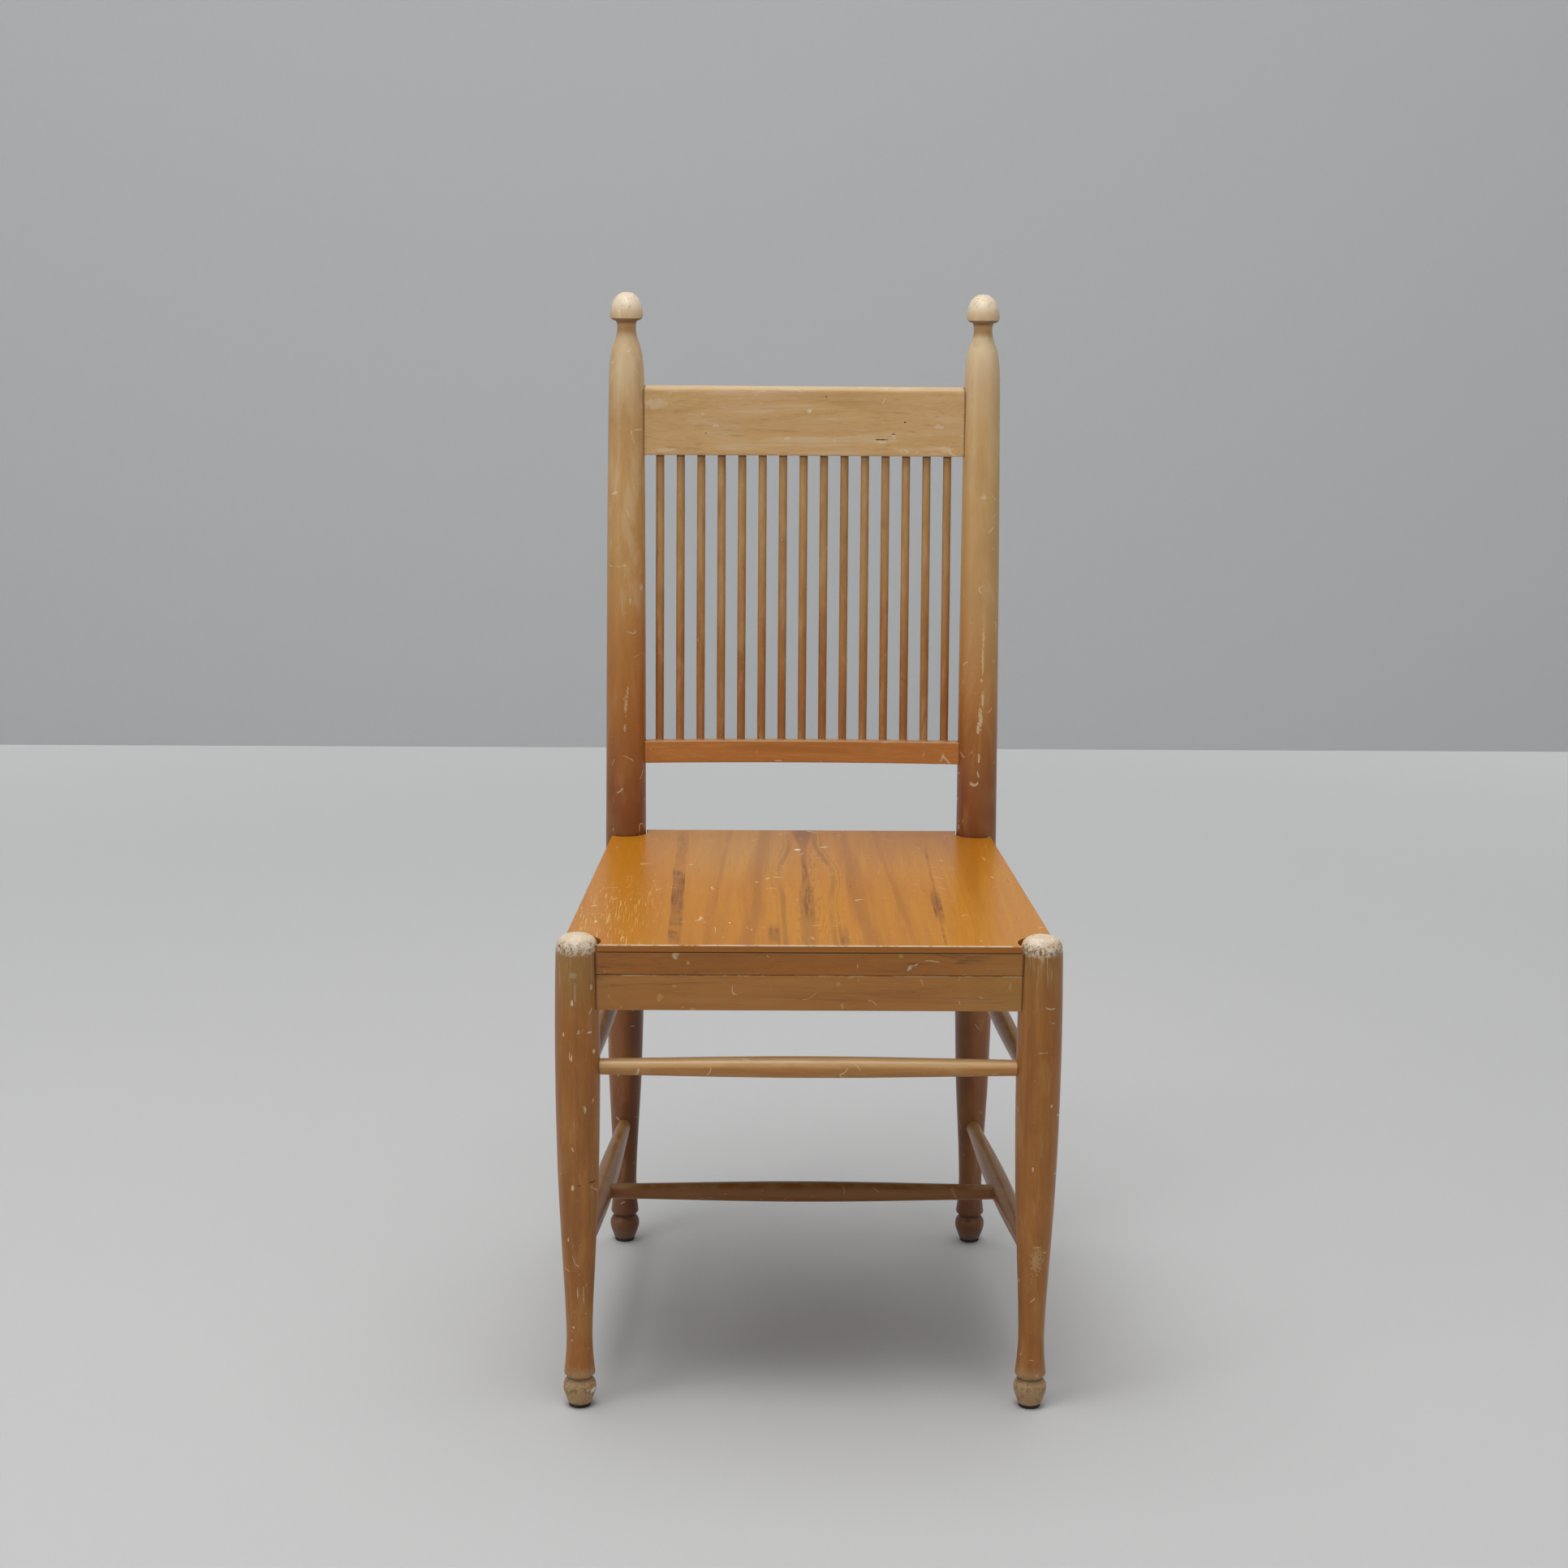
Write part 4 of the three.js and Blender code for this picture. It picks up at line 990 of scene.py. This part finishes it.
def glide_plastic():
    plastic = Finish("glide_plastic", "#1c1917", 0.6)
    plastic.coat(plastic.patches(300, 4, 0.5, 0.7), "#4b443c", 0.8)
    plastic.coat(plastic.ramp(plastic.z, 0.0012, 0), "#5a5249", 0.85, 0.05)
    return plastic.done()


def zinc_steel():
    zinc = Finish("zinc_steel", "#a3a39d", 0.4)
    zinc.shader.inputs["Metallic"].default_value = 0.9
    zinc.coat(zinc.patches(900, 4, 0.5, 0.7), "#7f7a70", 0.6, 0.02)
    return zinc.done()


# Pieces

def at(x, y, z):
    return Vector((x, y + SHIFT, z))


def make_front_legs(finish):
    profile = rounded(FOOT + FRONT_SHANK + DOME)
    left = turn("turned_front_leg_left", profile)
    right = copied(left, "turned_front_leg_right")
    for piece, side, node in ((left, -1, "front_leg_left"), (right, 1, "front_leg_right")):
        move(piece, at(side * FRONT_X, FRONT_Y, 0))
        fit(piece, finish, node)


REAR_FOOT = at(-REAR_X - REAR_SPLAY_X, REAR_Y + REAR_SPLAY_Y, 0)
REAR_KNEE = at(-REAR_X, REAR_Y, SEAT)
SHANK_LENGTH = (REAR_KNEE - REAR_FOOT).length
FOOT_TOP = FOOT[-1][1]


def post_path(length):
    """Centre and lean of the left rear post at a length along it."""
    below = (REAR_KNEE - REAR_FOOT).normalized()
    above = Vector((0, math.sin(BACK_RAKE), math.cos(BACK_RAKE)))
    over = length - SHANK_LENGTH
    if over <= -BEND_HALF:
        centre, aim = REAR_FOOT + below * length, below
    elif over >= BEND_HALF:
        centre, aim = REAR_KNEE + above * over, above
    else:
        share = (over + BEND_HALF) / (2 * BEND_HALF)
        start, finish = REAR_KNEE - below * BEND_HALF, REAR_KNEE + above * BEND_HALF
        centre = start.lerp(REAR_KNEE, share).lerp(REAR_KNEE.lerp(finish, share), share)
        aim = below.lerp(above, share)
    return centre, -math.atan2(aim.y, aim.z)


def make_rear_posts(finish):
    shank = [(radius, FOOT_TOP + (SHANK_LENGTH - FOOT_TOP) * share)
             for radius, share in REAR_SHANK]
    shaft = [(radius, SHANK_LENGTH + CREST_TOP * share) for radius, share in POST_SHAFT]
    finial = [(radius, SHANK_LENGTH + CREST_TOP + high) for radius, high in FINIAL]
    profile = rounded(FOOT + shank + shaft + finial)
    left = turn("turned_rear_post_left", profile, post_path)
    right = mirrored(left, "turned_rear_post_right")
    fit(left, finish, "rear_post_left")
    fit(right, finish, "rear_post_right")


def make_glides(finish):
    profile = [
        (GLIDE_RADIUS - 1, 0), (GLIDE_RADIUS - 0.3, 0.25), (GLIDE_RADIUS, 0.9),
        (GLIDE_RADIUS, GLIDE_HEIGHT - 0.3), (GLIDE_RADIUS - 0.2, GLIDE_HEIGHT),
        (0.4, GLIDE_HEIGHT + 0.1)]
    first = turn("pressed_glide_front_left", profile, sides=36)
    places = {
        "front_left": at(-FRONT_X, FRONT_Y, 0), "front_right": at(FRONT_X, FRONT_Y, 0),
        "rear_left": REAR_FOOT, "rear_right": Vector((-REAR_FOOT.x, REAR_FOOT.y, 0))}
    made = {word: first if word == "front_left" else copied(first, f"pressed_glide_{word}")
            for word in places}
    for word, piece in made.items():
        move(piece, places[word])
        end, side = word.split("_")
        fit(piece, finish, f"{end}_glide_{side}")


def lean_back(piece):
    """A piece made upright takes the lean of the back."""
    move(piece, at(0, REAR_Y, SEAT), Quaternion((1, 0, 0), -BACK_RAKE))


def bow(across):
    """How far the rails bow backwards at a distance from the middle."""
    return RAIL_BOW * (1 - (across / REAR_X) ** 2)


def bowed_rail(name, bottom, height, thickness, round_over, ease):
    """A rail of the back: its top rounded over, its lower edges eased, and bowed."""
    length = 2 * (REAR_X - RAIL_INSET)
    piece = block(name, (length, thickness, height), (0, 0, bottom + height / 2))
    top = bottom + height
    edit(piece)
    pick_edges(piece, lambda a, b: abs(a.x - b.x) > length / 2 and a.z > top - 0.1)
    bpy.ops.mesh.bevel(offset=round_over * MM, segments=8, affect="EDGES")
    pick_edges(piece, lambda a, b: abs(a.x - b.x) > length / 2 and max(a.z, b.z) < bottom + 0.1)
    bpy.ops.mesh.bevel(offset=ease * MM, segments=3, affect="EDGES")
    bpy.ops.object.mode_set(mode="OBJECT")
    steps = 28
    slice_across(piece, [length * (i / steps - 0.5) for i in range(1, steps)])
    slice_across(piece, [bottom + ease + 1, top - round_over - 1], axis=2)
    edit(piece)
    for i in range(steps + 1):
        across = length * (i / steps - 0.5)
        pick_points(piece, lambda p: abs(p.x - across) < 0.5)
        bpy.ops.transform.translate(value=(0, bow(across) * MM, 0))
    face_outward()
    lean_back(piece)
    return piece


def make_back(crest_finish, lower_finish, spindle_finish):
    crest = bowed_rail("bowed_crest_rail", CREST_BOTTOM, CREST_HEIGHT, CREST_THICKNESS, 7, 1.5)
    fit(crest, crest_finish, "crest_rail")
    lower = bowed_rail("bowed_lower_rail", LOWER_RAIL_BOTTOM, LOWER_RAIL_HEIGHT,
                       LOWER_RAIL_THICKNESS, 1.4, 1.2)
    fit(lower, lower_finish, "lower_back_rail")
    low = LOWER_RAIL_BOTTOM + LOWER_RAIL_HEIGHT - SPINDLE_IN_LOWER_RAIL
    high = CREST_BOTTOM + SPINDLE_IN_CREST
    middle = (low + high) / 2
    profile = [
        (4.2, low), (4.2, low + SPINDLE_IN_LOWER_RAIL), (4.3, low + 60), (4.35, middle),
        (4.3, high - 70), (4.2, high - SPINDLE_IN_CREST), (4.2, high)]
    first = turn("turned_spindle_01", rounded(profile), sides=24)
    rods = [first] + [copied(first, f"turned_spindle_{i + 1:02d}") for i in range(1, SPINDLES)]
    for i, rod in enumerate(rods):
        across = (2 * i / (SPINDLES - 1) - 1) * SPINDLE_REACH
        move(rod, (across, bow(across), 0), Quaternion((0, 0, 1), SPINDLE_TURN * i))
        lean_back(rod)
        fit(rod, spindle_finish, f"spindle_{i + 1:02d}")


def side_half(y):
    """Half the seat's width at a distance from front to back."""
    rear_x = REAR_X + REAR_SPLAY_X * (1 - APRON_TOP / SEAT)
    rear_y = REAR_Y + REAR_SPLAY_Y * (1 - APRON_TOP / SEAT)
    share = (y - FRONT_Y) / (rear_y - FRONT_Y)
    return FRONT_X + (rear_x - FRONT_X) * share + PANEL_OUTBOARD


def make_seat(finish):
    depth = PANEL_REAR_Y - PANEL_FRONT_Y
    front, rear = side_half(PANEL_FRONT_Y), side_half(PANEL_REAR_Y)
    centre = at(0, (PANEL_REAR_Y + PANEL_FRONT_Y) / 2, SEAT - PANEL_THICKNESS / 2)
    panel = block("veneered_seat_panel", (2 * front, depth, PANEL_THICKNESS), centre)
    edit(panel)
    pick_points(panel, lambda p: p.y > 0)
    bpy.ops.transform.resize(value=(rear / front, 1, 1), center_override=(0, 0, 0))
    bpy.ops.object.mode_set(mode="OBJECT")
    notches = ((-FRONT_X, FRONT_Y, FRONT_NOTCH), (FRONT_X, FRONT_Y, FRONT_NOTCH),
               (-REAR_X, REAR_Y, REAR_NOTCH), (REAR_X, REAR_Y, REAR_NOTCH))
    for x, y, radius in notches:
        bpy.ops.object.select_all(action="DESELECT")
        bpy.ops.mesh.primitive_cylinder_add(
            vertices=96, radius=radius * MM, depth=0.04, location=at(x, y, SEAT) * MM)
        bit = bpy.context.object
        cutter = panel.modifiers.new("notch", "BOOLEAN")
        cutter.operation = "DIFFERENCE"
        cutter.solver = "EXACT"
        cutter.object = bit
        bpy.ops.object.select_all(action="DESELECT")
        bpy.context.view_layer.objects.active = panel
        bpy.ops.object.modifier_apply(modifier=cutter.name)
        bpy.data.objects.remove(bit, do_unlink=True)
    ease_edges(panel, 0.7, 3)
    fit(panel, finish, "seat_panel", angle=10)


def front_board(name, bottom, top, torn):
    """A front apron board; its torn edge opened along the seam."""
    length = 2 * (FRONT_X - 14)
    size = (length, APRON_THICKNESS, top - bottom)
    piece = block(name, size, at(0, FRONT_Y, (top + bottom) / 2))
    ease_edges(piece, 0.2, 2)
    steps = 70
    slice_across(piece, [length * (i / steps - 0.5) for i in range(1, steps)])
    edit(piece)
    pick_points(piece, lambda p: abs(p.z - torn) < 1 and abs(p.x) < length / 2 - 4)
    bpy.ops.transform.vertex_random(offset=0.0002, seed=5)
    bpy.ops.object.mode_set(mode="OBJECT")
    return piece


def make_aprons(finish, side_finish):
    upper = front_board("front_board_upper", UPPER_BOARD_BOTTOM, APRON_TOP, UPPER_BOARD_BOTTOM)
    lower = front_board("front_board_lower", APRON_BOTTOM, LOWER_BOARD_TOP, LOWER_BOARD_TOP)
    fit(upper, finish, "front_apron_upper", angle=10)
    fit(lower, finish, "front_apron_lower", angle=10)
    for node, wood in (("rear_apron", finish), ("side_apron_left", side_finish),
                       ("side_apron_right", side_finish)):
        fit(eased_copy(node, f"eased_{node}"), wood, node, angle=10)


def make_corner_blocks(finish, steel):
    for end in ("front", "rear"):
        for side in ("left", "right"):
            node = f"corner_block_{end}_{side}"
            fit(eased_copy(node, f"eased_{node}"), finish, node)
            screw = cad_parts[f"seat_screw_{end}_{side}"]
            screw.data.materials.clear()
            screw.data.materials.append(steel)


def swelled(name, length, end, middle):
    """A stretcher stands on its end and swells towards its middle."""
    steps = 18
    profile = []
    for i in range(steps + 1):
        share = i / steps
        profile.append((end + (middle - end) * math.sin(math.pi * share) ** 1.5, length * share))
    return turn(name, profile, sides=40)


def stretcher(node, start, end, radii, finish, reach=STRETCHER_REACH):
    """A turned rod between the axes of two legs, short of them by its reach."""
    run = (end - start).normalized() * reach
    start, end = start + run, end - run
    piece = swelled(f"{node}_turned", (end - start).length, *radii)
    lay_between(piece, start, end)
    fit(piece, finish, node)


def rear_axis(side, height):
    """The place of a rear post's axis below the seat."""
    foot = Vector((side * -REAR_FOOT.x, REAR_FOOT.y, 0))
    return foot.lerp(Vector((side * REAR_X, REAR_KNEE.y, SEAT)), height / SEAT)


def make_stretchers(across, sideways, lower_finish, cross_finish):
    left, right = (at(side * FRONT_X, FRONT_Y, FRONT_STRETCHER_Z) for side in (-1, 1))
    stretcher("front_stretcher", left, right, (7.3, 9.9), across)
    ends = []
    for side, word in ((-1, "left"), (1, "right")):
        stretcher(
            f"upper_side_stretcher_{word}", at(side * FRONT_X, FRONT_Y, UPPER_SIDE_Z),
            rear_axis(side, UPPER_SIDE_Z), (7, 9.4), sideways)
        start = at(side * FRONT_X, FRONT_Y, LOWER_SIDE_FRONT_Z)
        end = rear_axis(side, LOWER_SIDE_REAR_Z)
        stretcher(f"lower_side_stretcher_{word}", start, end, (7, 11.3), lower_finish)
        ends.append(start.lerp(end, (CROSS_Y + SHIFT - start.y) / (end.y - start.y)))
    stretcher("cross_stretcher", *ends, (7.3, 10.1), cross_finish, CROSS_REACH)


# The room, in metres and watts

WALL_Y = 2.62
WALL_TURN = 0.15
CAMERA_PLACE = (-0.0655, -2.97945, 1.2354)
CAMERA_YAW = 0.01498
CAMERA_PITCH = 0.22847
CAMERA_ROLL = 0.0083
CAMERA_LENS = 72.41
CAMERA_SENSOR = 36
LAMPS = [
    # name, place, aim, size, power
    ("overhead", (-0.2, 0.9, 5.6), (0, 0.6, 0), (6, 6), 170),
    ("soft box", (-0.4, -0.9, 4.1), (0, 0, 0.3), (1.8, 1.5), 49),
    ("front left", (-3.1, -2.3, 1.9), (0, 0, 0.5), (1.6, 1.6), 19),
    ("front right", (2, -3.2, 2.2), (0, 0, 0.5), (1.2, 1.2), 7),
]
AIR_LIGHT = 0.27


def set_camera():
    """A level camera is turned, tipped and rolled by its three angles."""
    ahead = Vector((
        math.sin(CAMERA_YAW) * math.cos(CAMERA_PITCH),
        math.cos(CAMERA_YAW) * math.cos(CAMERA_PITCH), -math.sin(CAMERA_PITCH)))
    right = Vector((math.cos(CAMERA_YAW), -math.sin(CAMERA_YAW), 0))
    down = ahead.cross(right)
    across = right * math.cos(CAMERA_ROLL) - down * math.sin(CAMERA_ROLL)
    up = -(right * math.sin(CAMERA_ROLL) + down * math.cos(CAMERA_ROLL))
    lens = bpy.data.cameras.new("camera")
    lens.sensor_width = CAMERA_SENSOR
    lens.lens = CAMERA_LENS
    eye = bpy.data.objects.new("camera", lens)
    bpy.context.collection.objects.link(eye)
    turned = Matrix((across, up, -ahead)).transposed().to_4x4()
    turned.translation = Vector(CAMERA_PLACE)
    eye.matrix_world = turned
    bpy.context.scene.camera = eye


def lamp(name, place, aim, size, power):
    light = bpy.data.lights.new(name, "AREA")
    light.shape = "RECTANGLE"
    light.size, light.size_y = size
    light.energy = power
    stand = bpy.data.objects.new(name, light)
    bpy.context.collection.objects.link(stand)
    stand.location = place
    stand.rotation_mode = "QUATERNION"
    stand.rotation_quaternion = (Vector(aim) - Vector(place)).to_track_quat("-Z", "Y")


def eye_rays(nodes):
    """1 for what the camera sees, straight or in a gloss or through glass."""
    seen = nodes.add("ShaderNodeLightPath").outputs
    thrown = nodes.sums("MAXIMUM", seen["Is Glossy Ray"], seen["Is Transmission Ray"])
    return nodes.sums("MAXIMUM", seen["Is Camera Ray"], thrown)


def room_paint(name, colour, far_colour, near, far):
    """A paint that keeps its pale colour in the distance, where the lamps don't reach."""
    paint = Finish(name, colour, 0.85)
    paint.coat(paint.noise(260, 2), "#8c8c8c", amount=0.06)
    material = paint.done()
    share = paint.times(paint.ramp(paint.length(paint.place), near, far), eye_rays(paint))
    glow = paint.add("ShaderNodeEmission", {"Color": tone(far_colour), "Strength": 1})
    both = paint.add("ShaderNodeMixShader", {
        0: share, 1: paint.shader.outputs[0], 2: glow.outputs[0]})
    paint.join(both.outputs[0], paint.tree.nodes["Material Output"].inputs[0])
    return material


def backdrop(name, size, paint):
    """A flat sheet of the room, lying on the floor."""
    bpy.ops.object.select_all(action="DESELECT")
    bpy.ops.mesh.primitive_plane_add(size=size)
    sheet = bpy.context.object
    sheet.name = name
    sheet.data.materials.append(paint)
    return sheet


def set_room():
    backdrop("floor", 40, room_paint("pale_floor", "#cccccc", "#c3c4c4", 1.3, 3.6))
    wall = backdrop("wall", 30, room_paint("pale_wall", "#cacccd", "#a9abac", 4.1, 6))
    wall.rotation_euler = (math.radians(90), 0, math.radians(WALL_TURN))
    wall.location = (0, WALL_Y, 0)
    settle(wall)
    world = bpy.data.worlds.new("room")
    bpy.context.scene.world = world
    world.use_nodes = True
    world.node_tree.nodes.clear()
    air = Nodes(world.node_tree)
    glow = air.add("ShaderNodeBackground", {"Color": (1, 1, 1, 1), "Strength": AIR_LIGHT})
    seen = air.add("ShaderNodeBackground", {"Color": tone("#b4b6b8"), "Strength": 1})
    mix = air.add("ShaderNodeMixShader", {
        0: eye_rays(air), 1: glow.outputs[0], 2: seen.outputs[0]})
    air.add("ShaderNodeOutputWorld", {0: mix.outputs[0]})
    for each in LAMPS:
        lamp(*each)


set_camera()
make_front_legs(front_leg_varnish())
make_rear_posts(rear_post_varnish())
make_glides(glide_plastic())
make_back(crest_varnish(), lower_rail_varnish(), spindle_varnish())
make_seat(seat_veneer())
make_aprons(apron_varnish(), frame_varnish("side_apron_varnish", "Y"))
make_corner_blocks(bare_beech(), zinc_steel())
# The stretchers below the seat take a painted shade, more the deeper they lie.
make_stretchers(
    front_stretcher_varnish(),
    frame_varnish("side_stretcher_varnish", "Y", shade=0.15),
    frame_varnish("lower_stretcher_varnish", "Y", shade=0.4),
    frame_varnish("cross_stretcher_varnish", "X", shade=0.5))
set_room()
bpy.context.scene.view_settings.view_transform = "Standard"
